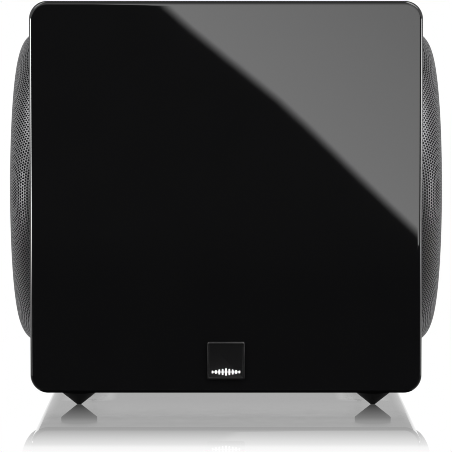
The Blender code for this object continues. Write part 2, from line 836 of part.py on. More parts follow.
def power_switch(finishes):
    """A rocker with a shallow V face that tips about X inside its bezel."""
    near = REAR_Y + GAP
    deep = 13 * MM
    bezel = lofted(
        "rocker_bezel",
        [
            at(grown(ROCKER, ROCKER_SIZE, 3.0 * MM), near + 1.6 * MM),
            at(grown(ROCKER, ROCKER_SIZE, 3.6 * MM), near + 1.0 * MM),
            at(grown(ROCKER, ROCKER_SIZE, 3.6 * MM), near),
            at(grown(ROCKER, ROCKER_SIZE, 1.9 * MM), near),
            at(grown(ROCKER, ROCKER_SIZE, 1.9 * MM), near - deep),
        ],
        finishes["moulding"],
    )
    mouth = grown(ROCKER, ROCKER_SIZE, 1.0 * MM)
    boolean(bezel, prisms("rocker_mouth_cutter", [mouth], near - deep + 1.5 * MM, near + WALL))
    half = ROCKER_SIZE[1] / 2
    centre = 3.1 * MM
    tip = centre + half * math.tan(ROCKER_TILT)
    section = [
        (tip, half),
        (centre, 0),
        (tip, -half),
        (-1 * MM, -half),
        (-4 * MM, -4 * MM),
        (-4 * MM, 4 * MM),
        (-1 * MM, half),
    ]
    wide = ROCKER_SIZE[0] / 2
    lofted(
        "power_rocker",
        [[(x, y, z) for y, z in section] for x in (-wide, wide)],
        finishes["rocker"],
        location=(ROCKER[0], ROCKER_PIVOT_Y, ROCKER[1]),
        rotation=(ROCKER_TILT, 0, 0),
    )


def knob(name, centre, finishes):
    """A fluted knob with a pointer groove, on a shaft that reaches its control."""
    flute_depth = 0.5 * MM
    outline = []
    for step in range(2 * KNOB_FLUTES):
        angle = math.tau * step / (2 * KNOB_FLUTES)
        radius = KNOB_RADIUS - flute_depth * (step % 2)
        outline.append((radius * math.cos(angle), radius * math.sin(angle)))

    def scaled(inset):
        share = (KNOB_RADIUS - inset) / KNOB_RADIUS
        return [(x * share, z * share) for x, z in outline]

    near = 0.6 * MM
    body = lofted(
        name,
        [
            at(scaled(0), near),
            at(scaled(0.4 * MM), REAR_PROUD - 1 * MM),
            at(scaled(1.6 * MM), REAR_PROUD),
        ],
        finishes["knob"],
        location=(centre[0], REAR_Y, centre[1]),
    )
    shaft = prisms(f"{name}_shaft", [circle((0, 0), SHAFT_RADIUS, 16)], -SHAFT_LENGTH, near + 2 * MM)
    shaft.location = body.location
    boolean(body, shaft, "UNION")
    pointer = rectangle((0, KNOB_RADIUS * 0.66), 1.4 * MM, KNOB_RADIUS * 0.8)
    groove = prisms(f"{name}_groove_cutter", [pointer], REAR_PROUD - 0.6 * MM, REAR_PROUD + 2 * MM)
    groove.location = body.location
    boolean(body, groove)


def slider(name, centre, offset, finishes):
    """A slide switch's lever: a small ribbed tab on a wider foot that runs behind the plate."""
    tab = (4.2 * MM, 3.8 * MM)
    foot = (7 * MM, 7 * MM)
    near = PLATE_BACK - 0.5 * MM
    middle = (centre[0] + offset, centre[1])
    lofted(
        name,
        [
            at(rectangle(middle, tab[0] - 0.8 * MM, tab[1] - 0.8 * MM), REAR_Y + 2.2 * MM),
            at(rectangle(middle, *tab), REAR_Y + 1.7 * MM),
            at(rectangle(middle, *tab), near),
            at(rectangle(middle, *foot), near),
            at(rectangle(middle, *foot), near - 3 * MM),
        ],
        finishes["tab"],
    )


def jack(name, centre, profile, material):
    turned(
        name,
        profile,
        material,
        segments=16,
        location=(centre[0], REAR_Y, centre[1]),
        rotation=(-math.pi / 2, 0, 0),
    )


def fittings(finishes):
    """Sockets, button and light, turned about axes that point out of the back."""
    chamfer = 0.4 * MM
    deep = -12 * MM
    washer_radius = 5.6 * MM
    washer_face = 1.6 * MM
    mouth_face = 8.4 * MM
    line = [
        (JACK_BORE, deep),
        (JACK_BARREL, deep),
        (JACK_BARREL, GAP),
        (washer_radius, GAP),
        (washer_radius, washer_face),
        (JACK_BARREL, washer_face),
        (JACK_BARREL, mouth_face - chamfer),
        (JACK_BARREL - chamfer, mouth_face),
        (JACK_BORE, mouth_face),
    ]
    jack("line_jack_left", JACK_LEFT, line, finishes["contact"])
    jack("line_jack_right", JACK_RIGHT, line, finishes["contact"])
    deep = -11 * MM
    nut_radius = 4.4 * MM
    nut_face = 2.4 * MM
    trigger = [
        (TRIGGER_BORE, deep),
        (TRIGGER_BARREL, deep),
        (TRIGGER_BARREL, GAP),
        (nut_radius, GAP),
        (nut_radius, nut_face - chamfer),
        (nut_radius - chamfer, nut_face),
        (TRIGGER_BORE, nut_face),
    ]
    jack("trigger_jack", TRIGGER_JACK, trigger, finishes["contact"])
    deep = -7 * MM
    behind_plate = -PLATE_THICK - 0.5 * MM
    button_face = 1.6 * MM
    button = [
        (0, deep),
        (BUTTON_RADIUS + BUTTON_FOOT, deep),
        (BUTTON_RADIUS + BUTTON_FOOT, behind_plate),
        (BUTTON_RADIUS, behind_plate),
        (BUTTON_RADIUS, button_face - chamfer),
        (BUTTON_RADIUS - chamfer, button_face),
        (0, button_face),
    ]
    jack("sync_button", SYNC_BUTTON, button, finishes["tab"])
    light = [
        (0, -6 * MM),
        (LIGHT_RADIUS, -6 * MM),
        (LIGHT_RADIUS, 0.2 * MM),
        (LIGHT_RADIUS * 0.7, 0.7 * MM),
        (0, 0.9 * MM),
    ]
    jack("status_light", STATUS_LIGHT, light, finishes["light"])
    port = lofted(
        "service_port",
        [
            at(rectangle(SERVICE_PORT, *PORT_SIZE, 0.8 * MM), REAR_Y + 0.5 * MM),
            at(rectangle(SERVICE_PORT, *PORT_SIZE, 0.8 * MM), REAR_Y - 8 * MM),
        ],
        finishes["contact"],
    )
    mouth = grown(SERVICE_PORT, PORT_SIZE, -0.7 * MM, 0.6 * MM)
    boolean(port, prisms("port_cutter", [mouth], REAR_Y - 6 * MM, REAR_Y + WALL))


def amplifier(finishes):
    amp_plate(finishes)
    fin_block(finishes)
    heat_spreader(finishes)
    boards(finishes)
    power_parts(finishes)
    mains_inlet(finishes)
    power_switch(finishes)
    knob("level_knob", LEVEL_KNOB, finishes)
    knob("crossover_knob", CROSSOVER_KNOB, finishes)
    slider("phase_slider", PHASE_SWITCH, 2.5 * MM, finishes)
    slider("mode_slider", MODE_SWITCH, 0, finishes)
    fittings(finishes)


# ---------------------------------------------------------------- the whole


def all_finishes():
    return {
        "lacquer": finish("gloss_black_lacquer", (0.008, 0.008, 0.009), 0.06),
        "rear_board": finish("satin_black_board", (0.012, 0.012, 0.013), 0.4),
        "board": finish("bare_board", (0.42, 0.3, 0.19), 0.8),
        "badge": finish("badge_black", (0.014, 0.014, 0.015), 0.35),
        "emblem": finish("emblem_white", (0.8, 0.8, 0.8), 0.35),
        "foot": finish("foot_black", (0.01, 0.01, 0.01), 0.45),
        "grille": finish("gunmetal_mesh", (0.09, 0.09, 0.095), 0.38, 0.9),
        "lining": finish("lining_cloth", (0.012, 0.012, 0.012), 0.9),
        "ring": finish("ring_black", (0.015, 0.015, 0.015), 0.5),
        "foam": finish("foam_seal", (0.02, 0.02, 0.02), 0.95),
        "basket": finish("basket_black", (0.02, 0.02, 0.02), 0.5, 0.3),
        "rubber": finish("butyl_rubber", (0.018, 0.018, 0.018), 0.65),
        "spider": finish("spider_cloth", (0.55, 0.42, 0.16), 0.9),
        "cone": finish("cone_black", (0.025, 0.025, 0.027), 0.55),
        "cap": finish("cap_black", (0.02, 0.02, 0.021), 0.4),
        "former": finish("former_aluminium", (0.6, 0.6, 0.6), 0.4, 1.0),
        "copper": finish("copper_winding", (0.6, 0.25, 0.1), 0.35, 1.0),
        "steel": finish("zinc_plated_steel", (0.4, 0.4, 0.42), 0.35, 1.0),
        "ferrite": finish("ferrite", (0.03, 0.03, 0.032), 0.6),
        "plate": finish("anodised_black", (0.02, 0.02, 0.021), 0.42, 0.6),
        "bare": finish("bare_aluminium", (0.6, 0.6, 0.61), 0.4, 1.0),
        "circuit": finish("circuit_green", (0.01, 0.08, 0.03), 0.5),
        "can": finish("capacitor_sleeve", (0.02, 0.02, 0.05), 0.35),
        "moulding": finish("black_moulding", (0.012, 0.012, 0.012), 0.45),
        "rocker": finish("rocker_black", (0.015, 0.015, 0.015), 0.3),
        "knob": finish("knob_black", (0.02, 0.02, 0.02), 0.45),
        "tab": finish("tab_black", (0.02, 0.02, 0.02), 0.4),
        "contact": finish("nickel_contact", (0.6, 0.58, 0.54), 0.25, 1.0),
        "light": finish("light_lens", (0.7, 0.75, 0.8), 0.15),
    }


def build():
    clear_scene()
    finishes = all_finishes()
    axes = {
        side: empty(f"driver_axis_{side}", (0, MIDDLE_Y, AXIS_Z), (0, sign * math.pi / 2, 0))
        for side, sign in SIDES.items()
    }
    cabinet(finishes, axes)
    rear_panel(finishes)
    window_brace(finishes)
    feet(finishes)
    badge(finishes)
    for side, axis in axes.items():
        grille(side, axis, finishes)
        driver(side, axis, finishes)
    amplifier(finishes)


build()
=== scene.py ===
"""Looks for a compact sealed subwoofer: a gloss black cube with a perforated metal dome over the driver in
each side, conical feet, a small square badge, and its amplifier and controls at the back.

Metres, +Z up, the front faces -Y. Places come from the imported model's own boxes.
"""

import math

import bmesh
import bpy
import numpy as np
from mathutils import Matrix, Vector


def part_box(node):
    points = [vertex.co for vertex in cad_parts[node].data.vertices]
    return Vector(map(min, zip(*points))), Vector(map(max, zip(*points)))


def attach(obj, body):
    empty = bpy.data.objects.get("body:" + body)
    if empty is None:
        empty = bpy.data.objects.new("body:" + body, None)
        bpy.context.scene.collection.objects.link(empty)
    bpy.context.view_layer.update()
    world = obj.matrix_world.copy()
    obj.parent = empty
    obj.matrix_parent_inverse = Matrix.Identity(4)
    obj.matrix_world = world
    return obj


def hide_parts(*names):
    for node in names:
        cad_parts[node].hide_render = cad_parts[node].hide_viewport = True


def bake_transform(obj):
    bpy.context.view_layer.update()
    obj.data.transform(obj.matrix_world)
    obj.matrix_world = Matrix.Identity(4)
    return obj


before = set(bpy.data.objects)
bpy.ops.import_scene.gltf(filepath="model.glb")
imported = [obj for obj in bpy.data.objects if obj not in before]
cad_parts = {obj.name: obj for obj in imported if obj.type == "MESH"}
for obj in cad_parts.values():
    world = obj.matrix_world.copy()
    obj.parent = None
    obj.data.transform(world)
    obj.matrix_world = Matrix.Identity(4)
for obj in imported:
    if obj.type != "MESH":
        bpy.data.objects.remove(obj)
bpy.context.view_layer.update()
MM = 0.001
SIDES = {"left": -1, "right": 1}

SHELL_LOW, SHELL_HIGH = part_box("cabinet_shell")
SIDE = SHELL_HIGH.x - SHELL_LOW.x
HALF = SIDE / 2
FRONT_Y = SHELL_LOW.y
REAR_Y = SHELL_HIGH.y
MIDDLE_Y = (FRONT_Y + REAR_Y) / 2
BOTTOM_Z = SHELL_LOW.z
AXIS_Z = BOTTOM_Z + HALF
MIDDLE = Vector((0, MIDDLE_Y, AXIS_Z))
EDGE_RADIUS = 12.5 * MM
RIM_RADIUS = 2.3 * MM
GAP = 0.3 * MM
# The underside's roughness by the distance behind the front
UNDER_SATIN = ((0.0, 0.66), (0.02, 0.57), (0.04, 0.39), (0.06, 0.27), (0.12, 0.08))


# ---------------------------------------------------------------- material nodes

WAVE_LENGTH = math.pi / 10  # Of one band of the wave texture at scale 1
EVEN = (1, 1, 1)


class Nodes:
    """Adds linked shader nodes to a node tree."""

    def __init__(self, tree, cleared=True):
        self.tree = tree
        if cleared:
            tree.nodes.clear()

    def node(self, kind, inputs=None, **settings):
        made = self.tree.nodes.new(kind)
        for key, value in settings.items():
            setattr(made, key, value)
        for key, value in (inputs or {}).items():
            self.feed(made.inputs[key], value)
        return made

    def feed(self, plug, value):
        if isinstance(value, bpy.types.NodeSocket):
            self.tree.links.new(value, plug)
        else:
            plug.default_value = value

    def maths(self, operation, first, second=0.0):
        return self.node("ShaderNodeMath", {0: first, 1: second}, operation=operation).outputs[0]

    def times(self, first, second):
        return self.maths("MULTIPLY", first, second)

    def ranged(self, value, low, high, start=0.25, end=0.75, **settings):
        """Low where the value is at its start, high where it is at its end."""
        made = {"Value": value, "From Min": start, "From Max": end, "To Min": low, "To Max": high}
        return self.node("ShaderNodeMapRange", made, **settings).outputs[0]

    def curve(self, value, stops):
        """Straight lines through (value, result) pairs, with results from 0 to 1."""
        start, end = stops[0][0], stops[-1][0]
        ramp = self.node("ShaderNodeValToRGB", {"Fac": self.ranged(value, 0, 1, start, end)})
        elements = ramp.color_ramp.elements
        for where, _ in stops[1:-1]:
            elements.new((where - start) / (end - start))
        for element, (_, result) in zip(elements, stops):
            element.color = (result, result, result, 1)
        return ramp.outputs["Color"]

    def vectors(self, operation, first, second=(0, 0, 0), output=0):
        made = self.node("ShaderNodeVectorMath", {0: first, 1: second}, operation=operation)
        return made.outputs[output]

    def parts(self, vector):
        return self.node("ShaderNodeSeparateXYZ", {0: vector}).outputs

    def mix_shaders(self, factor, first, second):
        return self.node("ShaderNodeMixShader", {0: factor, 1: first, 2: second}).outputs[0]


class Look(Nodes):
    """A Principled material built from nodes that read the object's own coordinates.

    Sizes and reliefs are in millimetres.
    """

    def __init__(self, name, **sockets):
        self.material = bpy.data.materials.new(name)
        self.material.use_nodes = True
        super().__init__(self.material.node_tree, cleared=False)
        self.shader = self.tree.nodes["Principled BSDF"]
        for socket, value in sockets.items():
            self.shader.inputs[socket.replace("_", " ")].default_value = value
        self.place = self.node("ShaderNodeTexCoord").outputs["Object"]

    def stretched(self, scale):
        return self.node("ShaderNodeMapping", {"Vector": self.place, "Scale": scale}).outputs[0]

    def noise(self, size, detail=3.0, stretch=EVEN, roughness=0.55):
        """Noise from 0 to 1 whose patches are about size across."""
        made = {"Vector": self.stretched(stretch), "Scale": 1 / (size * MM)}
        made |= {"Detail": detail, "Roughness": roughness}
        return self.node("ShaderNodeTexNoise", made).outputs["Fac"]

    def cell_edges(self, size, stretch):
        """The distance from the edges of random cells."""
        made = {"Vector": self.stretched(stretch), "Scale": 1 / (size * MM)}
        return self.node("ShaderNodeTexVoronoi", made, feature="DISTANCE_TO_EDGE").outputs["Distance"]

    def waves(self, pitch, direction):
        """Soft bands from 0 to 1 that follow one another in one direction."""
        made = {"Vector": self.place, "Scale": WAVE_LENGTH / (pitch * MM), "Distortion": 0.0}
        return self.node("ShaderNodeTexWave", made, bands_direction=direction).outputs["Fac"]

    def mixed(self, factor, dark, light):
        made = self.node("ShaderNodeMix", {"Factor": factor}, data_type="RGBA")
        for socket, value in (("A", dark), ("B", light)):
            plug = next(s for s in made.inputs if s.name == socket and s.type == "RGBA")
            self.feed(plug, (*value, 1))
        return next(s for s in made.outputs if s.type == "RGBA")

    def shade(self, **sockets):
        for socket, value in sockets.items():
            self.feed(self.shader.inputs[socket.replace("_", " ")], value)

    def surface(self, pattern, dark, light, relief, sheen=None, glossy=0.0, dull=1.0, grain=None):
        """Colour from a pattern, roughness from a sheen, and a bump from a grain or else the pattern."""
        self.shade(Base_Color=self.mixed(pattern, dark, light))
        if sheen is not None:
            self.shade(Roughness=self.ranged(sheen, glossy, dull))
        made = {"Height": pattern if grain is None else grain, "Distance": relief * MM, "Strength": 1.0}
        self.shade(Normal=self.node("ShaderNodeBump", made).outputs[0])
        return self.material


# ---------------------------------------------------------------- materials


def grained(name, colour, roughness, metallic=0.0, size=1, relief=0.01, spread=0.2, stretch=EVEN, **more):
    """Soft mottling, uneven sheen and a fine grain. One number as the colour is a neutral grey."""
    colour = colour if isinstance(colour, tuple) else (colour, colour, colour)
    dark, light = ([c * (1 + sign * spread) for c in colour] for sign in (-1, 1))
    look = Look(name, Metallic=metallic, **more)
    mottling, sheen = look.noise(size * 9, 4, stretch), look.noise(size * 5, 2, stretch)
    uneven = (roughness * 0.85, min(1.0, roughness * 1.15))
    return look.surface(mottling, dark, light, relief, sheen, *uneven, look.noise(size, 2, stretch))


def lacquer(name, satin=None):
    """The cabinet's black coat: glossy, or with a roughness by the distance behind the front."""
    look = Look(name, IOR=1.6)
    patches = look.noise(14, 4)
    if satin:
        depth = look.maths("SUBTRACT", look.parts(look.place)["Y"], FRONT_Y)
        look.shade(Roughness=look.times(look.curve(depth, satin), look.ranged(patches, 0.9, 1.1)))
    else:
        look.shade(Roughness=look.ranged(patches, 0.012, 0.022))
    dark, light = (0.0025, 0.0025, 0.0027), (0.0033, 0.0033, 0.0035)
    return look.surface(look.noise(30, 5), dark, light, 0.0004, grain=look.noise(7, 1))


def grille_gunmetal():
    look = Look("grille_gunmetal", Metallic=0.85)
    dark, light = (0.18, 0.18, 0.184), (0.22, 0.22, 0.226)
    sheen, grain = look.noise(3, 3), look.noise(0.25, 2)
    return look.surface(look.noise(6, 5), dark, light, 0.004, sheen, 0.42, 0.5, grain)


def cone_fibre():
    look = Look("cone_fibre")
    fibres = look.noise(0.7, 6, (1, 1, 0.3), 0.7)
    return look.surface(fibres, (0.014, 0.014, 0.015), (0.038, 0.038, 0.04), 0.08, fibres, 0.5, 0.75)


def woven(name, roughness, pitch, dark, light, relief):
    """Threads that cross at right angles."""
    look = Look(name, Roughness=roughness)
    weave = look.times(look.waves(pitch, "X"), look.waves(pitch, "Y"))
    return look.surface(weave, dark, light, relief)


def copper_winding():
    look = Look("copper_winding", Metallic=1.0)
    turns = look.waves(0.5, "Z")
    return look.surface(turns, (0.3, 0.1, 0.03), (0.75, 0.33, 0.14), 0.12, look.noise(2), 0.28, 0.42)


def circuit_board():
    look = Look("circuit_board")
    tracks = look.ranged(look.cell_edges(7, (1, 0.2, 1)), 0, 1, 0.03, 0.06)
    return look.surface(tracks, (0.03, 0.16, 0.05), (0.006, 0.06, 0.022), 0.03, look.noise(3), 0.3, 0.5)


def bare_fibreboard():
    look = Look("bare_fibreboard", Roughness=0.85)
    wood = look.noise(0.8, 8, roughness=0.75)
    return look.surface(wood, (0.3, 0.2, 0.11), (0.5, 0.37, 0.23), 0.05)


def status_lens():
    look = Look("status_lens", Roughness=0.2, Emission_Strength=1.2)
    glow = look.mixed(look.noise(1, 2), (0.5, 0.75, 1.0), (0.7, 0.88, 1.0))
    look.shade(Base_Color=glow, Emission_Color=glow)
    return look.material


def make_materials():
    fine = {"size": 0.25, "relief": 0.004}
    across = {"stretch": (0.08, 1, 1)}
    # The deeper black is painted shade, on the front lower rim and on the feet
    black, black_with_painted_shade = (0.0048, 0.0048, 0.005), (0.0013, 0.0013, 0.0014)
    return {
        "lacquer": lacquer("gloss_lacquer"),
        "under": lacquer("underside_lacquer", UNDER_SATIN),
        # Painted shade on the front lower rim: a deeper black with no specular, so it mirrors nothing
        "rim": grained("painted_shade_lower_edge", black_with_painted_shade, 0.5, Specular_IOR_Level=0.0, **fine),
        "rear": grained("rear_board_satin", (0.011, 0.011, 0.012), 0.36, size=0.5, relief=0.006),
        "wood": bare_fibreboard(),
        # The feet are black moulding, made darker and almost without specular as painted shade under the
        # cabinet
        "foot": grained("foot_moulding_painted_shade", black_with_painted_shade, 0.6, Specular_IOR_Level=0.03, **fine),
        "badge": grained("badge_satin", black, 0.32, Specular_IOR_Level=0.15, **fine),
        # Painted highlight: the badge's black with full specular, for the upper border only
        "badge_edge_painted_highlight": grained("badge_edge_painted_highlight", black, 0.2, Specular_IOR_Level=1.0, **fine),
        "emblem": grained("emblem_white", 0.86, 0.35, size=0.4, relief=0, spread=0.04),
        "grille": grille_gunmetal(),
        # Painted shade in the grille's holes and behind its sheet: a near-black matt finish
        "painted_shade_bore": grained("grille_inside_painted_shade", 0.012, 0.8, size=0.3, relief=0.005),
        "cloth": woven("lining_cloth", 0.95, 0.5, (0.003, 0.003, 0.003), (0.009, 0.009, 0.009), 0.08),
        "ring": grained("ring_moulding", 0.01, 0.6, size=0.4),
        "foam": grained("seal_foam", 0.02, 0.95, size=0.6, relief=0.2),
        "basket": grained("basket_powder_coat", 0.02, 0.5, size=0.4, relief=0.03),
        "rubber": grained("surround_rubber", 0.016, 0.62, size=0.8),
        "cone": cone_fibre(),
        "cap": grained("dust_cap_moulding", (0.02, 0.02, 0.021), 0.4, size=0.5),
        "spider": woven("spider_weave", 0.9, 0.9, (0.32, 0.22, 0.07), (0.62, 0.47, 0.2), 0.15),
        "copper": copper_winding(),
        "former": grained("former_foil", 0.6, 0.4, 1.0, size=0.5),
        "ferrite": grained("ferrite_ground", (0.035, 0.034, 0.036), 0.6, size=0.5, relief=0.03),
        "steel": grained("plated_steel", (0.42, 0.42, 0.43), 0.34, 1.0, size=0.8),
        "plate": grained("plate_anodised", (0.017, 0.017, 0.018), 0.44, 0.55, **fine, **across),
        "bare": grained("spreader_mill", (0.6, 0.6, 0.61), 0.4, 1.0, size=0.5, **across),
        "screw": grained("screw_black_oxide", (0.03, 0.03, 0.031), 0.35, 0.8, size=0.3),
        "moulding": grained("black_moulding", 0.012, 0.42, size=0.3),
        "rocker": grained("rocker_moulding", 0.013, 0.28, size=0.5, relief=0.003),
        "knob": grained("knob_moulding", (0.016, 0.016, 0.0165), 0.4, size=0.3, relief=0.006),
        "print": grained("printed_marks", 0.62, 0.5, size=0.3, relief=0, spread=0.06),
        "nickel": grained("nickel_plate", (0.62, 0.6, 0.56), 0.2, 1.0, size=0.5, relief=0.002),
        "red": grained("red_insulator", (0.45, 0.012, 0.01), 0.35, size=0.4, spread=0.1),
        "white": grained("white_insulator", (0.75, 0.75, 0.73), 0.35, size=0.4, spread=0.05),
        "can": grained("capacitor_sleeve", (0.015, 0.02, 0.05), 0.35, size=0.8),
        "board": circuit_board(),
        "lens": status_lens(),
    }


MATERIALS = make_materials()


# ---------------------------------------------------------------- mesh tools


def turn(profile, segments=96):
    """A body of revolution about Z, from a closed loop of (radius, height) points."""
    bm = bmesh.new()
    verts = [bm.verts.new((radius, 0, height)) for radius, height in profile]
    for first, second in zip(verts, verts[1:] + verts[:1]):
        if first.co.x > 0 or second.co.x > 0:
            bm.edges.new((first, second))
    geometry = bm.verts[:] + bm.edges[:]
    whole = {"angle": math.tau, "steps": segments, "use_merge": True}
    bmesh.ops.spin(bm, geom=geometry, cent=(0, 0, 0), axis=(0, 0, 1), **whole)
    bmesh.ops.remove_doubles(bm, verts=bm.verts[:], dist=0.001 * MM)
    return bm


def add_loft(bm, rings, hollow=False):
    """Adds a body through rings of points, which is capped at both ends, or hollow and joined in a circle."""
    loops = [[bm.verts.new(point) for point in ring] for ring in rings]
    for near, far in zip(loops, loops[1:] + loops[:1] if hollow else loops[1:]):
        for i in range(len(near)):
            j = (i + 1) % len(near)
            bm.faces.new((near[i], near[j], far[j], far[i]))
    if not hollow:
        bm.faces.new(loops[0])
        bm.faces.new(loops[-1])
    return bm


def loft(rings):
    return add_loft(bmesh.new(), rings)


def at(outline, y):
    """An outline of (x, z) points as a ring at depth y."""
    return [(x, y, z) for x, z in outline]


def stacked(outline, *depths):
    """One outline's rings at several depths."""
    return [at(outline, y) for y in depths]


def on_back(outline, *levels):
    """One outline's rings at several heights above the back, in millimetres."""
    return [at(outline, REAR_Y + up * MM) for up in levels]


def circle(centre, radius, count=48):
    x, z = centre
    angles = [math.tau * i / count for i in range(count)]
    return [(x + radius * math.cos(a), z + radius * math.sin(a)) for a in angles]


def rectangle(centre, width, height, corner=0.0, steps=6):
    """A rectangle's outline, with round corners when corner is more than zero."""
    outline = []
    for quarter in range(4):
        across = 1 if quarter in (0, 3) else -1
        up = 1 if quarter in (0, 1) else -1
        pivot_x = centre[0] + across * (width / 2 - corner)
        pivot_z = centre[1] + up * (height / 2 - corner)
        for step in range(steps + 1 if corner > 0 else 1):
            angle = quarter * math.pi / 2 + step * math.pi / 2 / steps
            outline.append((pivot_x + corner * math.cos(angle), pivot_z + corner * math.sin(angle)))
    return outline


def arc(centre, radius, start, end, steps):
    """Points on an arc from one angle to another, in degrees."""
    angles = [math.radians(start + (end - start) * i / steps) for i in range(steps + 1)]
    return [(centre[0] + radius * math.cos(a), centre[1] + radius * math.sin(a)) for a in angles]


def linked(name, data):
    """A new object in the scene."""
    obj = bpy.data.objects.new(name, data)
    bpy.context.scene.collection.objects.link(obj)
    return obj


def mesh_of(name, bm):
    """A mesh from a bmesh, which is freed, with its normals facing out."""
    bmesh.ops.recalc_face_normals(bm, faces=bm.faces)
    mesh = bpy.data.meshes.new(name)
    bm.to_mesh(mesh)
    bm.free()
    return mesh


def finished(name, bm, material, smooth=35):
    """A mesh object with smooth curves and crisp edges."""
    mesh = mesh_of(name, bm)
    mesh.shade_smooth()
    mesh.set_sharp_from_angle(angle=math.radians(smooth))
    mesh.materials.append(MATERIALS[material])
    return linked(name, mesh)


def piece(name, bm, material, stands_for=(), body="cabinet", matrix=None, smooth=35):
    """A finished mesh that rides on a body and takes the place of CAD nodes."""
    obj = finished(name, bm, material, smooth)
    if matrix is not None:
        obj.matrix_world = matrix
    return rigged(obj, stands_for, body)


def rigged(obj, stands_for=(), body="cabinet"):
    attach(obj, body)
    if stands_for:
        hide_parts(stands_for)
    return obj


def apply_modifiers(obj):
    bpy.context.view_layer.update()
    depsgraph = bpy.context.evaluated_depsgraph_get()
    mesh = bpy.data.meshes.new_from_object(obj.evaluated_get(depsgraph), depsgraph=depsgraph)
    obj.modifiers.clear()
    obj.data = mesh
    return obj


def cut(obj, bm):
    """Cuts another closed mesh out of obj's mesh, for good."""
    mesh = mesh_of("cutter", bm)
    tool = linked("cutter", mesh)
    modifier = obj.modifiers.new("cut", "BOOLEAN")
    modifier.operation = "DIFFERENCE"
    modifier.object = tool
    modifier.solver = "EXACT"
    apply_modifiers(obj)
    bpy.data.objects.remove(tool)
    bpy.data.meshes.remove(mesh)


def flattened(obj):
    """Keeps the flats flat between smooth edges, and the sharp edges sharp."""
    weighted = obj.modifiers.new("flats", "WEIGHTED_NORMAL")
    weighted.keep_sharp = True
    return apply_modifiers(obj)


def softened(obj, width, segments=2):
    """Rounds the crisp edges and keeps the flats flat."""
    bevel = obj.modifiers.new("edge", "BEVEL")
    bevel.width = width
    bevel.segments = segments
    bevel.limit_method = "ANGLE"
    bevel.angle_limit = math.radians(50)
    return flattened(obj)


def painted(obj, material, chosen):
    """Gives another material to the chosen faces."""
    obj.data.materials.append(MATERIALS[material])
    last = len(obj.data.materials) - 1
    for face in obj.data.polygons:
        if chosen(face):
            face.material_index = last


# ---------------------------------------------------------------- places


def side_matrix(side):
    """Local +Z points out of the cabinet along the driver's axis."""
    return Matrix.Translation(MIDDLE) @ Matrix.Rotation(SIDES[side] * math.pi / 2, 4, "Y")


def over_back(centre, up=0.0):
    """The cabinet's axes, moved to a place on the back and up from it by millimetres."""
    return Matrix.Translation((centre[0], REAR_Y + up * MM, centre[1]))


def reach(node, side):
    """The lowest and highest distance of a driver's node from the middle, and its outer radius."""
    low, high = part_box(node)
    ends = sorted((SIDES[side] * low.x, SIDES[side] * high.x))
    return ends[0], ends[1], (high.z - low.z) / 2


def centre_of(node):
    low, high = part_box(node)
    return ((low.x + high.x) / 2, (low.z + high.z) / 2)


def size_of(node):
    low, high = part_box(node)
    return (high.x - low.x, high.z - low.z)


def grown(size, margin):
    """A width and a height with a margin in millimetres all round."""
    return (size[0] + 2 * margin * MM, size[1] + 2 * margin * MM)


# ---------------------------------------------------------------- cabinet

PANEL_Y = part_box("rear_panel")[0].y
PLATE_CENTRE = centre_of("amp_plate")
PLATE_SIZE = size_of("amp_plate")
LAP = size_of("rear_panel")[0] + 2 * GAP
INNER = LAP - 12 * MM
WALL = (SIDE - INNER) / 2
BASKET_HOLE = 94 * MM


def square(size, *corner):
    return rectangle((0, AXIS_Z), size, size, *corner)


def lacquered_box():
    """Round long edges, and finely rounded rims at the front and the back."""
    steps = 8
    rings = [(1.0 * MM + RIM_RADIUS, 0)]
    for step in range(steps + 1):
        angle = step * math.pi / 2 / steps
        rings.append((RIM_RADIUS * (1 - math.sin(angle)), RIM_RADIUS * (1 - math.cos(angle))))
    rings = [(inset, FRONT_Y + depth) for inset, depth in rings]
    rings += [(inset, FRONT_Y + REAR_Y - y) for inset, y in reversed(rings)]
    return loft([at(square(SIDE - 2 * inset, EDGE_RADIUS - inset, 24), y) for inset, y in rings])


def driver_opening(side):
    """A stepped hole through the wall for the basket, the driver's flange and the grille's ring."""
    flange_seat, _, flange_radius = reach(f"driver_gasket_{side}", side)
    ring_seat, _, ring_radius = reach(f"grille_ring_{side}", side)
    inside, outside = HALF - 2 * WALL, HALF + WALL
    profile = [
        (0, inside),
        (BASKET_HOLE, inside),
        (BASKET_HOLE, flange_seat - GAP),
        (flange_radius + 1.3 * MM, flange_seat - GAP),
        (flange_radius + 1.3 * MM, ring_seat - GAP),
        (ring_radius + 0.7 * MM, ring_seat - GAP),
        (ring_radius + 0.7 * MM, outside),
        (0, outside),
    ]
    opening = turn(profile, 160)
    opening.transform(side_matrix(side))
    return opening


def cabinet():
    """The lacquered shell with a stepped opening in each side, and bare board inside."""
    shell = finished("cabinet", lacquered_box(), "lacquer")
    cavity = stacked(square(INNER), FRONT_Y + WALL, PANEL_Y - GAP)
    cut(shell, loft(cavity + stacked(square(LAP), PANEL_Y - GAP, REAR_Y + WALL)))
    for side in SIDES:
        cut(shell, driver_opening(side))
    shell.data.set_sharp_from_angle(angle=math.radians(35))
    flattened(shell)

    low_rim, front_rim = BOTTOM_Z + RIM_RADIUS, FRONT_Y + RIM_RADIUS
    facing_down, least_tilt, most_tilt = -0.7, -0.15, -0.995
    bare = HALF - 4 * MM

    def beneath(face):
        return face.center.z < low_rim and face.normal.z < facing_down

    # The front lower rim gets the painted shade: dark and without reflection
    def painted_shade_front_lower_rim(face):
        tilted = most_tilt < face.normal.z < least_tilt
        return tilted and face.center.z < low_rim and face.center.y < front_rim

    def in_the_cavity(face):
        return max(map(abs, face.center - MIDDLE)) < bare and face.center.y < PANEL_Y

    painted(shell, "under", beneath)
    painted(shell, "rim", painted_shade_front_lower_rim)
    painted(shell, "wood", in_the_cavity)
    rigged(shell, "cabinet_shell")


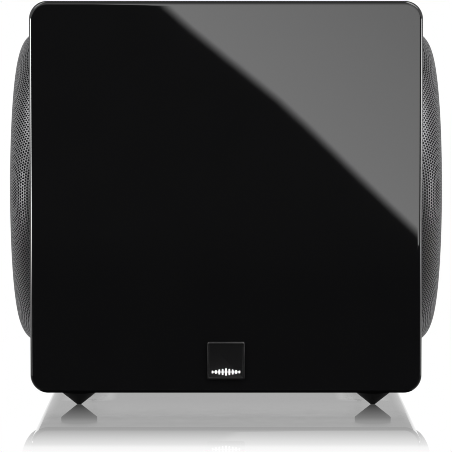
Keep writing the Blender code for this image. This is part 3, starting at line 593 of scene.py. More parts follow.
def rear_board():
    """The back's board, rebated and cut out for the amplifier's plate."""
    outline = square(LAP - 0.4 * MM, 1.5 * MM)
    panel = finished("rear_board", loft(stacked(outline, PANEL_Y, REAR_Y)), "rear")
    seal_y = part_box("amp_gasket")[0].y
    rebate = rectangle(PLATE_CENTRE, *grown(PLATE_SIZE, 0.3), 6.3 * MM, 10)
    cut(panel, loft(stacked(rebate, seal_y - GAP, REAR_Y + WALL)))
    hole = rectangle(PLATE_CENTRE, *grown(PLATE_SIZE, -12), 6 * MM, 10)
    cut(panel, loft(stacked(hole, PANEL_Y - WALL, REAR_Y + WALL)))
    rigged(softened(panel, 0.5 * MM), "rear_panel")


def feet():
    """Turned cones with a soft tip under a short collar."""
    tip, soft, slope = 1.6 * MM, 0.7 * MM, 318
    stud = 3 * MM
    for node in [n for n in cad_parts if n.startswith("foot_")]:
        low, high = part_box(node)
        radius = (high.x - low.x) / 2
        profile = [(0, 0)]
        profile += arc((0.9 * MM, tip), tip, 270, slope, 6)
        profile += arc((radius - soft, BOTTOM_Z - 2.6 * MM), soft, slope, 360, 4)
        profile += [
            (radius, BOTTOM_Z - 2 * GAP),
            (radius - GAP, BOTTOM_Z - GAP),
            (stud, BOTTOM_Z - GAP),
            (stud, high.z),
            (0, high.z),
        ]
        centre = Matrix.Translation(((low.x + high.x) / 2, (low.y + high.y) / 2, 0))
        # Black with painted shade, as set in the materials
        piece(f"{node}_cone", turn(profile, 64), "foot", node, matrix=centre)


def badge():
    """A bevelled square plate with a raised rim."""
    low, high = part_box("badge_plate")
    centre = centre_of("badge_plate")
    back = high.y - low.y
    # Each: inset and depth behind the front of the field, corner radius, all in millimetres
    rings = [
        (0.0, back / MM, 1.2),
        (0.0, 0.75, 1.2),
        (0.12, 0.35, 1.1),
        (0.4, 0.08, 1.0),
        (0.65, 0.0, 0.9),
        (0.95, 0.0, 0.8),
        (1.1, 0.1, 0.75),
        (1.35, 0.62, 0.6),
        (1.5, 0.7, 0.55),
    ]
    outlines = [
        at(rectangle(centre, *grown(size_of("badge_plate"), -inset), corner * MM), low.y + depth * MM)
        for inset, depth, corner in rings
    ]
    plate = piece("badge", loft(outlines), "badge", "badge_plate", smooth=50)
    # The upper border's faces take the brighter specular as a painted highlight
    painted(plate, "badge_edge_painted_highlight", lambda face: face.normal.z > 0.2 and face.center.z > centre[1])


def emblem():
    """A row of round-ended level bars on a thin line, the tallest in the middle."""
    low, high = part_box("badge_emblem")
    level = (low.z + high.z) / 2
    each_way, half_wide, half_line = 4, 0.6 * MM, 0.3 * MM
    pitch = (high.x - low.x - 2 * half_wide) / (2 * each_way)
    upper = []
    for bar in range(-each_way, each_way + 1):
        middle = bar * pitch
        shoulder = level + (2.6 - 1.6 * abs(bar) / each_way) * MM - half_wide
        upper.append((middle - half_wide, level + half_line))
        upper += arc((middle, shoulder), half_wide, 180, 0, 8)
        upper.append((middle + half_wide, level + half_line))
    outline = upper + [(x, 2 * level - z) for x, z in reversed(upper)]
    bars = loft(stacked(outline, high.y, low.y))
    piece("badge_level_bars", bars, "emblem", "badge_emblem")


# ---------------------------------------------------------------- grilles

DOME_POWER = 13
DOME_ROOT = 1 / 1.9
DOME_CROWN = 3.0
HOLE_PITCH = 2.1 * MM
HOLE_RADIUS = 0.85 * MM
HOLE_CORNER = HOLE_PITCH / math.sqrt(3)
HALF_STEPS = np.array([HOLE_PITCH / 2, HOLE_CORNER / 2])
SHEET = 0.6 * MM
CLOTH = 0.4 * MM


def dome_curve(radius, rise):
    """Arc length, radius and height along the dome, from its centre over the rim and straight down."""
    r = radius * (1 - (1 - np.linspace(0, 1, 6001)) ** 3)
    z = (rise - r**2 / DOME_CROWN) * np.maximum(0, 1 - (r / radius) ** DOME_POWER) ** DOME_ROOT
    r = np.append(r, radius)
    z = np.append(z, -2 * HOLE_PITCH)
    length = np.concatenate([[0], np.cumsum(np.hypot(np.diff(r), np.diff(z)))])
    return length, r, z


def on_dome(flat, curve):
    """Lifts flat points on to the dome, keeping their distance from its centre along the sheet."""
    length, r, z = curve
    along = np.hypot(flat[:, 0], flat[:, 1])
    step = 0.02 * MM
    near = [np.interp(along - step, length, v) for v in (r, z)]
    far = [np.interp(along + step, length, v) for v in (r, z)]
    slope = np.hypot(far[0] - near[0], far[1] - near[1])
    outward = -(far[1] - near[1]) / slope
    upward = (far[0] - near[0]) / slope
    unit = flat / np.maximum(along, 1e-9)[:, None]
    top = np.column_stack([unit * np.interp(along, length, r)[:, None], np.interp(along, length, z)])
    normal = np.column_stack([unit * outward[:, None], upward])
    return top, normal


def hexagon_cells(limit):
    """Centres of the hole pattern inside a radius, in half pitches across and half corners up."""
    rows = int(limit / (1.5 * HOLE_CORNER)) + 2
    found = []
    for row in range(-rows, rows + 1):
        for column in range(-rows, rows + 1):
            across, up = 2 * column + row % 2, 3 * row
            if math.hypot(across * HOLE_PITCH / 2, up * HOLE_CORNER / 2) <= limit:
                found.append((across, up))
    return np.array(found)


def trim(mesh):
    """Cuts the sheet off level, just clear of the cabinet, and closes the cut."""
    bm = bmesh.new()
    bm.from_mesh(mesh)
    whole = bm.verts[:] + bm.edges[:] + bm.faces[:]
    plane = {"plane_co": (0, 0, GAP), "plane_no": (0, 0, 1)}
    cut_off = bmesh.ops.bisect_plane(bm, geom=whole, dist=1e-8, clear_inner=True, **plane)
    edges = [part for part in cut_off["geom_cut"] if isinstance(part, bmesh.types.BMEdge)]
    bmesh.ops.holes_fill(bm, edges=edges)
    bm.to_mesh(mesh)
    bm.free()


def perforated(name, cells, curve, side, trimmed):
    """A closed sheet of cells, each with a hole right through, as a piece of the dome."""
    around = [(1, 1), (0, 2), (-1, 1), (-1, -1), (0, -2), (1, -1)]
    index = {}
    rings = np.array(
        [[index.setdefault((a + x, b + y), len(index)) for x, y in around] for a, b in cells]
    )
    corners = np.array(list(index), float) * HALF_STEPS
    spokes = np.radians([30, 90, 150, 210, 270, 330])
    hole = HOLE_RADIUS * np.column_stack([np.cos(spokes), np.sin(spokes)])
    holes = ((cells * HALF_STEPS)[:, None, :] + hole[None]).reshape(-1, 2)
    flat = np.concatenate([corners, holes])

    inner = len(corners) + np.arange(len(holes)).reshape(-1, 6)
    following = np.roll(rings, -1, 1)
    inner_following = np.roll(inner, -1, 1)
    sheet = np.stack([rings, following, inner_following, inner], 2).reshape(-1, 4)
    edges = np.stack([rings, following], 2).reshape(-1, 2).tolist()
    known = {tuple(edge) for edge in edges}
    walls = np.stack([inner_following, inner], 2).reshape(-1, 2).tolist()
    walls += [(b, a) for a, b in edges if (b, a) not in known]

    top, normal = on_dome(flat, curve)
    count = len(flat)
    faces = sheet.tolist() + (sheet[:, ::-1] + count).tolist()
    faces += [[a, b, b + count, a + count] for a, b in walls]
    mesh = bpy.data.meshes.new(name)
    mesh.from_pydata(np.concatenate([top, top - normal * SHEET]).tolist(), [], faces)
    mesh.materials.append(MATERIALS["grille"])
    # The holes' walls and the sheet's back take the near-black painted shade
    mesh.materials.append(MATERIALS["painted_shade_bore"])
    mesh.polygons.foreach_set("material_index", [int(i >= len(sheet)) for i in range(len(faces))])
    if trimmed:
        trim(mesh)
    mesh.shade_smooth()
    mesh.set_sharp_from_angle(angle=math.radians(64))
    obj = linked(name, mesh)
    obj.matrix_world = side_matrix(side) @ Matrix.Translation((0, 0, HALF))
    rigged(obj, f"grille_{side}")


def lining(side, curve, crest):
    """A dome of black cloth just behind the perforated sheet."""
    _, r, z = curve
    node = f"grille_lining_{side}"
    low, high, radius = reach(node, side)
    inset = crest - high
    rim = float(r.max()) - inset
    steps = 79
    outline = []
    for step in range(steps + 1):
        out = radius * (1 - (1 - step / steps) ** 2)
        up = HALF + float(np.interp(out * r.max() / rim, r, z)) - inset
        outline.append((out, max(up, low + 0.5 * MM)))
    under = [(out * (1 - CLOTH / radius), up - CLOTH) for out, up in outline]
    dome = turn(outline + under[::-1], 128)
    piece(f"grille_cloth_{side}", dome, "cloth", node, matrix=side_matrix(side), smooth=60)


def grilles():
    """Each dome is a crown and a shoulder of one perforated sheet, over its lining."""
    _, crest, radius = reach("grille_right", "right")
    curve = dome_curve(radius, crest - HALF)
    rim_length = curve[0][-2]
    cells = hexagon_cells(rim_length + HOLE_PITCH)
    distance = np.hypot(*(cells * HALF_STEPS).T)
    crown_share = 0.49
    split = np.quantile(distance, crown_share)
    for side in SIDES:
        perforated(f"grille_crown_{side}", cells[distance <= split], curve, side, False)
        perforated(f"grille_shoulder_{side}", cells[distance > split], curve, side, True)
        lining(side, curve, crest)


# ---------------------------------------------------------------- drivers

NECK = 25.9 * MM


def skin_of(line, thick):
    """Closes a line of (radius, height) points into a sheet of the given thickness above it."""
    over = [(r, z + thick) for r, z in line]
    return line + over[::-1]


def suspended(node, suffix, profile, material, side):
    """A round flexible part between the cabinet at its outer radius and the cone at its inner one."""
    obj = finished(f"{node}_{suffix}", turn(profile, 128), material, 40)
    obj.matrix_world = side_matrix(side)
    bpy.context.view_layer.update()
    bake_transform(obj)
    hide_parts(node)


def cone(side):
    """Slightly curved pressed paper."""
    low, high, _ = reach(f"cone_{side}", side)
    edge, skin, steps = 79.6 * MM, 1.4 * MM, 40
    line = []
    for step in range(steps + 1):
        t = step / steps
        line.append((NECK + (edge - NECK) * t, low + (high - low - skin) * t**0.93))
    paper = turn(skin_of(line, skin), 160)
    moving = f"diaphragm_{side}"
    piece(f"cone_{side}_paper", paper, "cone", f"cone_{side}", moving, side_matrix(side))


def dust_cap(side):
    low, high, radius = reach(f"dust_cap_{side}", side)
    skin = 1 * MM
    line = [(radius * t, low + (high - low - skin) * (1 - t * t)) for t in np.linspace(0, 1, 25).tolist()]
    cap = turn(skin_of(line, skin), 96)
    moving = f"diaphragm_{side}"
    piece(f"dust_cap_{side}_dome", cap, "cap", f"dust_cap_{side}", moving, side_matrix(side))


def surround(side):
    """A half roll between a glued lip and a clamped flange."""
    low, _, outer = reach(f"surround_{side}", side)
    skin, lip = 1.2 * MM, 76.5 * MM
    roll_inner, roll_outer = 80.6 * MM, 98.6 * MM
    centre = ((roll_inner + roll_outer) / 2, low)
    half = (roll_outer - roll_inner) / 2
    over = [(lip, low + skin)]
    over += [(r, z + skin) for r, z in arc(centre, half, 180, 0, 28)]
    over += [(outer - 0.4 * MM, low + skin), (outer, low + 0.7 * MM), (outer, low)]
    under = arc(centre, half - skin, 0, 180, 28)
    profile = over + under + [(lip, low)]
    suspended(f"surround_{side}", "roll", profile, "rubber", side)


def spider(side):
    """Five round pleats of stiffened cloth."""
    low, high, outer = reach(f"spider_{side}", side)
    skin, first, last, steps = 0.7 * MM, 32 * MM, 66 * MM, 84
    level = (low + high - skin) / 2
    line = [(NECK, level)]
    for step in range(steps + 1):
        t = step / steps
        line.append((first + (last - first) * t, level + 2 * MM * math.sin(5 * math.tau * t)))
    line.append((outer, level))
    suspended(f"spider_{side}", "pleats", skin_of(line, skin), "spider", side)


# ---------------------------------------------------------------- amplifier and controls

PLATE_LOW, PLATE_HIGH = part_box("amp_plate")
INLET_MOUTH = (24.6 * MM, 16.8 * MM)
ROCKER_SIZE = (13 * MM, 18.4 * MM)
ROCKER_TILT = math.radians(8)
# From here to the section's first function in millimetres, and heights count from the back
PLATE_THICK = (PLATE_HIGH.y - PLATE_LOW.y) / MM
ROCKER_PIVOT = -0.6
# Each: length of the slot, and how far its middle is from the slider at rest
SLOTS = {"phase_slider": (10.2, 2.5), "mode_slider": (13.2, 0.0)}
# The radius of each round opening
HOLES = {
    "line_jack_left": 4.5,
    "line_jack_right": 4.5,
    "trigger_jack": 3.7,
    "sync_button": 3.25,
    "status_light": 1.8,
    "level_knob": 3.6,
    "crossover_knob": 3.6,
}
# The bottom and the top of printed marks
PRINT = (-0.02, 0.03)


def slot_centre(node):
    x, z = centre_of(node)
    return (x - SLOTS[node][1] * MM, z)


def rings_of(centre, size, corner, levels, steps=6):
    """Rings of a rounded rectangle: each level is (inset, height above the back), in millimetres."""
    rings = []
    for inset, up in levels:
        width, height = grown(size, -inset)
        outline = rectangle(centre, width, height, max(0.1 * MM, corner - inset * MM), steps)
        rings += on_back(outline, up)
    return rings


def amp_panel():
    """The anodised plate with its softened edge and an opening for each fitting."""
    levels = [(0, -PLATE_THICK), (0, -0.6), (0.08, -0.3), (0.3, -0.08), (0.6, 0)]
    rings = rings_of(PLATE_CENTRE, PLATE_SIZE, 6 * MM, levels, 12)
    panel = finished("amp_panel", loft(rings), "plate")
    outlines = [
        rectangle(centre_of("rocker_bezel"), *grown(ROCKER_SIZE, 2.2), 1 * MM),
        rectangle(centre_of("mains_inlet"), *grown(INLET_MOUTH, 2.0), 1 * MM),
        rectangle(centre_of("service_port"), 9.6 * MM, 4.4 * MM, 1 * MM),
    ]
    for node, (length, _) in SLOTS.items():
        outlines.append(rectangle(slot_centre(node), length * MM, 4.6 * MM, 0.6 * MM))
    outlines += [circle(centre_of(node), radius * MM) for node, radius in HOLES.items()]
    holes = bmesh.new()
    for outline in outlines:
        add_loft(holes, on_back(outline, -5, 5))
    cut(panel, holes)
    panel.data.set_sharp_from_angle(angle=math.radians(30))
    rigged(flattened(panel), "amp_plate")


def panel_screws():
    """Pan heads with a six-sided socket, at the corners and the middles of the plate's sides."""
    count, side_points = 30, 5
    profile = [(2.9, 0.0), (2.9, 0.35), (2.7, 0.9), (2.2, 1.35), (1.6, 1.5)]
    across, up = (length / 2 for length in grown(PLATE_SIZE, -6.5))
    places = [(x * across, z * up) for x in (-1, 0, 1) for z in (-1, 0, 1) if (x, z) != (0, 0)]
    heads = bmesh.new()
    for x, z in places:
        centre = (PLATE_CENTRE[0] + x, PLATE_CENTRE[1] + z)
        rings = []
        for radius, level in profile:
            rings += on_back(circle(centre, radius * MM, count), level)
        corners = circle(centre, 1.3 * MM, 6)
        socket = []
        for (start_x, start_z), (end_x, end_z) in zip(corners, corners[1:] + corners[:1]):
            for share in (part / side_points for part in range(side_points)):
                socket.append((start_x + (end_x - start_x) * share, start_z + (end_z - start_z) * share))
        add_loft(heads, rings + on_back(socket, 1.5, 0.5))
    piece("amp_panel_screws", heads, "screw")


def fins():
    """A cast block of round-topped cooling fins."""
    centre, size = centre_of("fin_block"), size_of("fin_block")
    bm = loft(rings_of(centre, size, 2 * MM, [(0, 0.3), (0, 1.0), (0.3, 1.4), (0.8, 1.5)]))
    each_way, wide = 4, 3.2 * MM
    pitch = (size[0] - wide) / (2 * each_way)
    shape = [(0, 1.2), (0.3, 4.2), (0.5, 4.8), (0.9, 5.2), (1.3, 5.3)]
    for fin in range(-each_way, each_way + 1):
        middle = (centre[0] + fin * pitch, centre[1])
        add_loft(bm, rings_of(middle, (wide, size[1]), 1.5 * MM, shape, 5))
    piece("cooling_fins", bm, "plate", "fin_block")


def mains_socket():
    """The flanged inlet with its keyed recess and three metal blades."""
    centre = centre_of("mains_inlet")
    levels = [(-4.4, 0.3), (-4.4, 1.3), (-4.2, 1.8), (-3.7, 2.2), (-3.2, 2.3)]
    flange = rings_of(centre, INLET_MOUTH, -2.4 * MM, levels)
    neck = rings_of(centre, INLET_MOUTH, 0.4 * MM, [(-1.7, -16.7), (-1.7, 0.3)])
    body = finished("mains_socket", loft(neck + flange), "moulding")
    half_wide, half_high = INLET_MOUTH[0] / 2, INLET_MOUTH[1] / 2
    key = 5 * MM
    right = [(half_wide - key, -half_high), (half_wide, key - half_high), (half_wide, half_high)]
    keyed = right + [(-x, z) for x, z in reversed(right)]
    keyed = [(centre[0] + x, centre[1] + z) for x, z in keyed]
    cut(body, loft(on_back(keyed, -14.7, 10)))
    rigged(softened(body, 0.25 * MM), "mains_inlet")
    blades = bmesh.new()
    for x, z in ((-7, 2), (0, -2), (7, 2)):
        middle = (centre[0] + x * MM, centre[1] + z * MM)
        levels = [(0, -15.2), (0, -4.6), (0.2, -4.0), (0.5, -3.7)]
        add_loft(blades, rings_of(middle, (2 * MM, 4 * MM), 0.6 * MM, levels, 3))
    piece("mains_blades", blades, "nickel", "mains_inlet")


def rocker_frame():
    centre = centre_of("rocker_bezel")
    neck = rings_of(centre, ROCKER_SIZE, 0.5 * MM, [(-1.9, -12.7), (-1.9, 0.3)])
    levels = [(-3.6, 0.3), (-3.6, 1.2), (-3.45, 1.6), (-3.1, 1.85), (-2.7, 1.9)]
    flange = rings_of(centre, ROCKER_SIZE, -2.2 * MM, levels)
    bezel = finished("rocker_frame", loft(neck + flange), "moulding")
    mouth = rectangle(centre, *grown(ROCKER_SIZE, 1.0), 0.8 * MM)
    cut(bezel, loft(on_back(mouth, -11.2, 9)))
    rigged(softened(bezel, 0.2 * MM), "rocker_bezel")


def power_rocker():
    """A glossy rocker with dished faces, and its on and off marks."""
    half_wide, half = ROCKER_SIZE[0] / 2, ROCKER_SIZE[1] / 2
    dip = 3.1 * MM
    rise = half * math.tan(ROCKER_TILT)

    def face(z):
        return dip + rise * abs(z / half) ** 1.15

    section = [(face(half * step / 12), half * step / 12) for step in range(-12, 13)]
    section += [(-1 * MM, half), (-4 * MM, 4 * MM), (-4 * MM, -4 * MM), (-1 * MM, -half)]
    body = loft([[(x, y, z) for y, z in section] for x in (-half_wide, half_wide)])
    rocker = softened(finished("rocker_cap", body, "rocker"), 0.35 * MM, 3)
    place = over_back(centre_of("rocker_bezel"), ROCKER_PIVOT)
    rocker.matrix_world = place @ Matrix.Rotation(ROCKER_TILT, 4, "X")
    rigged(rocker, "power_rocker", "power_switch")

    def on_face(outline, up):
        return [(x, face(z) + up * MM, z) for x, z in outline]

    sunk, proud = -0.1, 0.03
    off_mark = [circle((0, -half / 2), radius * MM) for radius in (1.9, 1.9, 1.35, 1.35)]
    on_mark = rectangle((0, half / 2), 0.6 * MM, 3.6 * MM)
    marks = bmesh.new()
    add_loft(marks, [on_face(on_mark, up) for up in (sunk, proud)])
    rings = [on_face(ring, up) for ring, up in zip(off_mark, (sunk, proud, proud, sunk))]
    add_loft(marks, rings, hollow=True)
    piece("rocker_marks", marks, "print", (), "power_switch", rocker.matrix_world)


def control_knob(node, body):
    """A fluted knob with a soft top edge, a dished face and a white pointer."""
    radius = size_of(node)[0] / 2
    flutes, points = 24, 192
    shaft, shaft_end, skirt = 3 * MM, -12, 0.6
    # Each: inset from the knob's radius and height above the back, in millimetres
    levels = [(0.3, skirt), (0.0, 0.9), (0.0, 7.7), (0.2, 8.3), (0.6, 8.75)]
    levels += [(1.2, 8.98), (1.8, 8.95), (2.6, 8.6), (6, 8.45)]
    rings = [at(circle((0, 0), shaft, points), up * MM) for up in (shaft_end, skirt)]
    for inset, up in levels:
        ring = []
        for angle in (math.tau * i / points for i in range(points)):
            groove = 0.5 * abs(math.cos(flutes * angle / 2)) ** 2.5 * max(0, 1 - inset / 1.4)
            r = radius - (inset + groove) * MM
            ring.append((r * math.cos(angle), r * math.sin(angle)))
        rings.append(at(ring, up * MM))
    place = over_back(centre_of(node))
    piece(f"{node}_grip", loft(rings), "knob", node, body, place, 40)
    line = rectangle((0, radius * 0.62), 1.0 * MM, radius * 0.56, 0.4 * MM, 4)
    pointer = loft(stacked(line, 8.3 * MM, 8.97 * MM))
    piece(f"{node}_pointer", pointer, "print", (), body, place)


def slide_tab(node, body):
    """A slide switch's ribbed tab on its wider foot, over the switch's black housing."""
    centre = centre_of(node)
    housing = ((SLOTS[node][0] + 5) * MM, 8.6 * MM)
    rings = rings_of(slot_centre(node), housing, 0.5 * MM, [(0, -9), (0, -7)], 3)
    piece(f"{node}_housing", loft(rings), "moulding")
    tab, foot = (4.2 * MM, 3.8 * MM), (7 * MM, 7 * MM)
    under = -PLATE_THICK - 0.5
    rings = rings_of(centre, foot, 0.5 * MM, [(0, under - 3), (0, under)], 3)
    rings += rings_of(centre, tab, 0.4 * MM, [(0, under), (0, 1.6), (0.2, 2.05), (0.45, 2.2)], 3)
    tab_piece = finished(f"{node}_tab", loft(rings), "moulding")
    grooves = bmesh.new()
    for x in (-1.2, 0, 1.2):
        groove = rectangle((centre[0] + x * MM, centre[1]), 0.55 * MM, tab[1] * 1.2)
        add_loft(grooves, on_back(groove, 1.6, 4))
    cut(tab_piece, grooves)
    rigged(tab_piece, node, body)


def turned(name, node, profile, material, body="cabinet", replaced=True):
    """A round fitting at a node's place, from (radius, height) points in millimetres."""
    bm = turn([(radius * MM, up * MM) for radius, up in profile], 64)
    matrix = over_back(centre_of(node)) @ Matrix.Rotation(-math.pi / 2, 4, "X")
    piece(name, bm, material, node if replaced else (), body, matrix)


def line_jack(node, insulator):
    """A barrel that takes the place of the node, around a coloured core and a sleeve."""
    barrel = [(3.3, -11), (3.9, -11), (3.9, 0.2), (4.1, 0.2)]
    barrel += [(4.1, 7.9), (3.95, 8.25), (3.7, 8.4), (3.3, 8.2)]
    washer = [(4.15, 0.3), (5.6, 0.3), (5.6, 1.1), (5.4, 1.45), (5.1, 1.6), (4.15, 1.6)]
    core = [(1.75, -10), (3.25, -10), (3.25, 7.2), (3.0, 7.5), (1.95, 7.5), (1.75, 7.3)]
    sleeve = [(1.3, -10), (1.7, -10), (1.7, 6.6), (1.3, 6.6)]
    turned(f"{node}_barrel", node, barrel, "nickel")
    turned(f"{node}_washer", node, washer, insulator, replaced=False)
    turned(f"{node}_core", node, core, insulator, replaced=False)
    turned(f"{node}_sleeve", node, sleeve, "nickel", replaced=False)


def small_fittings():
    """The trigger jack, the sync button and the status light."""
    nut = [(2.5, -10), (3.3, -10), (3.3, 0.3), (4.4, 0.3)]
    nut += [(4.4, 1.7), (4.2, 2.15), (3.8, 2.4), (2.8, 2.4), (2.5, 2.1)]
    turned("trigger_jack_nut", "trigger_jack", nut, "nickel")
    bush = [(1.8, -10), (2.45, -10), (2.45, 1.8), (1.95, 1.8), (1.8, 1.6)]
    turned("trigger_jack_bush", "trigger_jack", bush, "moulding", replaced=False)
    button = [(0, -7), (4.2, -7), (4.2, -3.5), (3, -3.5)]
    button += [(3, 1.0), (2.85, 1.4), (2.5, 1.6), (1.8, 1.5), (0, 1.3)]
    turned("sync_button_cap", "sync_button", button, "knob", "sync_switch")
    lens = [(0, -6), (1.6, -6), (1.6, 0.1), (1.5, 0.45), (1.2, 0.7), (0.7, 0.86), (0, 0.9)]
    turned("status_lens", "status_light", lens, "lens")


def service_port():
    """A metal shell around a black tongue."""
    centre = centre_of("service_port")
    rings = rings_of(centre, (9 * MM, 3.8 * MM), 1.2 * MM, [(0, -8), (0, 0.3), (0.12, 0.5)])
    shell = finished("service_port_shell", loft(rings), "nickel")
    cut(shell, loft(on_back(rectangle(centre, 7.9 * MM, 2.7 * MM, 0.9 * MM), -7, 5)))
    rigged(shell, "service_port")
    tongue = rings_of(centre, (5.6 * MM, 0.8 * MM), 0.3 * MM, [(0, -7.2), (0, -1), (0.15, -0.8)], 3)
    piece("service_port_tongue", loft(tongue), "moulding")


def add_text(bm, text, height, centre):
    """Adds flat figures in the (x, z) plane that read from behind."""
    height_of_figures = 0.7  # At size 1
    curve = bpy.data.curves.new("figures", "FONT")
    curve.body = text
    curve.size = height / height_of_figures
    curve.align_x = "CENTER"
    curve.align_y = "CENTER"
    curve.extrude = 0.015 * MM
    carrier = linked("figures", curve)
    bpy.context.view_layer.update()
    mesh = bpy.data.meshes.new_from_object(carrier)
    y = REAR_Y + 0.02 * MM
    mesh.transform(Matrix(((-1, 0, 0, centre[0]), (0, 0, 1, y), (0, 1, 0, centre[1]), (0, 0, 0, 1))))
    bm.from_mesh(mesh)
    bpy.data.objects.remove(carrier)
    bpy.data.curves.remove(curve)
    bpy.data.meshes.remove(mesh)


def add_stroke(bm, start, end, width):
    """Adds a printed straight line between two (x, z) points."""
    start, end = Vector(start), Vector(end)
    along = (end - start).normalized() * width / 2
    across = Vector((-along.y, along.x))
    outline = [start - across, end - across, end + across, start + across]
    add_loft(bm, on_back(outline, *PRINT))


def add_knob_scale(bm, node, figures):
    """Ticks all round a knob's sweep, with a long one and a figure at the ends and the middle."""
    x, z = centre_of(node)

    def around(tick, radius):
        angle = math.radians(150 - 30 * tick)
        return (x + radius * MM * math.sin(angle), z + radius * MM * math.cos(angle))

    for tick in range(11):
        outer, width = (15.6, 0.5) if tick % 5 == 0 else (14.8, 0.3)
        add_stroke(bm, around(tick, 13.4), around(tick, outer), width * MM)
    for tick, figure in zip((0, 5, 10), figures):
        add_text(bm, figure, 2.2 * MM, around(tick, 18))


def add_switch_dots(bm, node, stops):
    """A dot above each stop of a slide switch."""
    x, z = slot_centre(node)
    travel = (SLOTS[node][0] - 5.2) * MM
    for stop in range(stops):
        dot = circle((x + travel * (0.5 - stop / (stops - 1)), z + 5 * MM), 0.5 * MM, 20)
        add_loft(bm, on_back(dot, *PRINT))


def scales():
    """The knobs' scales, dots beside the switches, and a frame around the inputs, printed on the plate."""
    bm = bmesh.new()
    add_knob_scale(bm, "level_knob", ("0", "5", "10"))
    add_knob_scale(bm, "crossover_knob", ("30", "90", "150"))
    add_switch_dots(bm, "phase_slider", 2)
    add_switch_dots(bm, "mode_slider", 3)
    x, z = centre_of("line_jack_left")
    middle = (x + centre_of("line_jack_right")[0]) / 2
    corners = rectangle((middle, z), 40 * MM, 18 * MM)
    for start, end in zip(corners, corners[1:] + corners[:1]):
        add_stroke(bm, start, end, 0.35 * MM)
    piece("printed_scales", bm, "print", smooth=30)


FINISHES = {
    "amp_gasket": "foam",
    "driver_gasket": "foam",
    "heat_spreader": "bare",
    "amp_board": "board",
    "control_board": "board",
    "power_transformer": "steel",
    "capacitor": "can",
    "basket": "basket",
    "coil_former": "former",
    "voice_coil": "copper",
    "top_plate": "steel",
    "back_plate": "steel",
    "magnet": "ferrite",
    "grille_ring": "ring",
    "window_brace": "wood",
}


def carried_over():
    """Gives every CAD part that stays in view, or inside, its own finish."""
    for name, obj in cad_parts.items():
        finish = next((FINISHES[key] for key in FINISHES if name.startswith(key)), "moulding")
        obj.data.materials.clear()
        obj.data.materials.append(MATERIALS[finish])


# ---------------------------------------------------------------- stage

# Each: first and last azimuth from the front in degrees, lowest and highest rise, strength
SOFTBOXES = (
    (-70, -52, -0.08, 0.02, 26.0),
    (-70, -52, -0.15, -0.08, 4.0),
    (64, 80, -0.08, 0.02, 18.0),
    (64, 80, -0.15, -0.08, 3.0),
    (-66, -28, 0.52, 0.95, 5.0),
    (18, 66, 0.52, 0.97, 6.0),
)
CAMERA_DISTANCE = 1.9275
CAMERA_HEIGHT = 0.2678
CAMERA_TILT = 0.06244
CAMERA_LENS = 222.28
CAMERA_SHIFT = -0.06
CARD_LIGHT = 3.1
CARD_AWAY = 1.4
CARD_FADE = 6.6
# Where the card's edge is mirrored on the front: millimetres across and above the floor
CARD_EDGE = (
    (-55.6, 287.0),
    (-46.2, 279.0),
    (-27.4, 262.4),
    (-6.9, 245.7),
    (13.8, 229.1),
    (34.2, 212.5),
    (52.4, 195.8),
    (69.6, 179.2),
    (86.6, 162.5),
    (103.9, 145.9),
    (121.4, 129.3),
    (141.9, 110.0),
)
# The floor's mirror: distance outside the object's footprint, strength
MIRROR = (
    (-0.045, 1.0),
    (-0.02, 0.975),
    (0.016, 0.9),
    (0.036, 0.848),
    (0.054, 0.755),
    (0.092, 0.688),
    (0.13, 0.435),
    (0.157, 0.266),
    (0.17, 0.1),
    (0.182, 0.064),
    (0.2, 0.0),
)
WHITE = (1, 1, 1, 1)
SOFT = {"interpolation_type": "SMOOTHSTEP"}


def lit_environment():
    """A white studio: bright all round above the horizon, dark only low down in front of the object."""
    world = bpy.data.worlds.new("studio")
    bpy.context.scene.world = world
    world.use_nodes = True
    nodes = Nodes(world.node_tree)
    ranged, maths, times = nodes.ranged, nodes.maths, nodes.times
    direction = nodes.parts(nodes.node("ShaderNodeTexCoord").outputs["Generated"])
    frontward, rise = direction["Y"], direction["Z"]
    azimuth = maths("ARCTAN2", direction["X"], times(frontward, -1.0))

    def window(value, first, last, blur):
        opening = ranged(value, 0, 1, first - blur, first + blur, **SOFT)
        return times(opening, ranged(value, 1, 0, last - blur, last + blur, **SOFT))

    ahead = ranged(frontward, 0, 1, -0.55, -0.9, **SOFT)
    low = ranged(rise, 0, 1, 0.12, 0.03, **SOFT)
    bright = maths("SUBTRACT", 1.0, times(times(ahead, low), 0.98))
    below = ranged(frontward, 0.16, 0.8, -0.1, 0.3, **SOFT)
    horizon_low = ranged(frontward, -0.1, 0.02, 0.9, 0.985)
    horizon = ranged(rise, below, 1.0, horizon_low, maths("ADD", horizon_low, 0.04), **SOFT)
    ceiling = ranged(rise, 1.0, 0.4, 0.35, 0.7, **SOFT)
    studio = times(times(horizon, ceiling), bright)
    for first, last, bottom, top, strength in SOFTBOXES:
        across = window(azimuth, math.radians(first), math.radians(last), math.radians(2))
        panel = times(across, window(rise, bottom, top, 0.02))
        studio = maths("ADD", studio, times(panel, strength))
    seen = nodes.node("ShaderNodeLightPath").outputs["Is Camera Ray"]
    background = nodes.node("ShaderNodeBackground", {"Color": WHITE, "Strength": 1.0}).outputs[0]
    light = nodes.node("ShaderNodeBackground", {"Color": WHITE, "Strength": studio}).outputs[0]
    nodes.node("ShaderNodeOutputWorld", {"Surface": nodes.mix_shaders(seen, light, background)})


def stage_object(name, verts, faces):
    """A mesh object for the stage, with an empty material and its nodes."""
    mesh = bpy.data.meshes.new(name)
    mesh.from_pydata(verts, [], faces)
    material = bpy.data.materials.new(name)
    material.use_nodes = True
    mesh.materials.append(material)
    return linked(name, mesh), Nodes(material.node_tree)


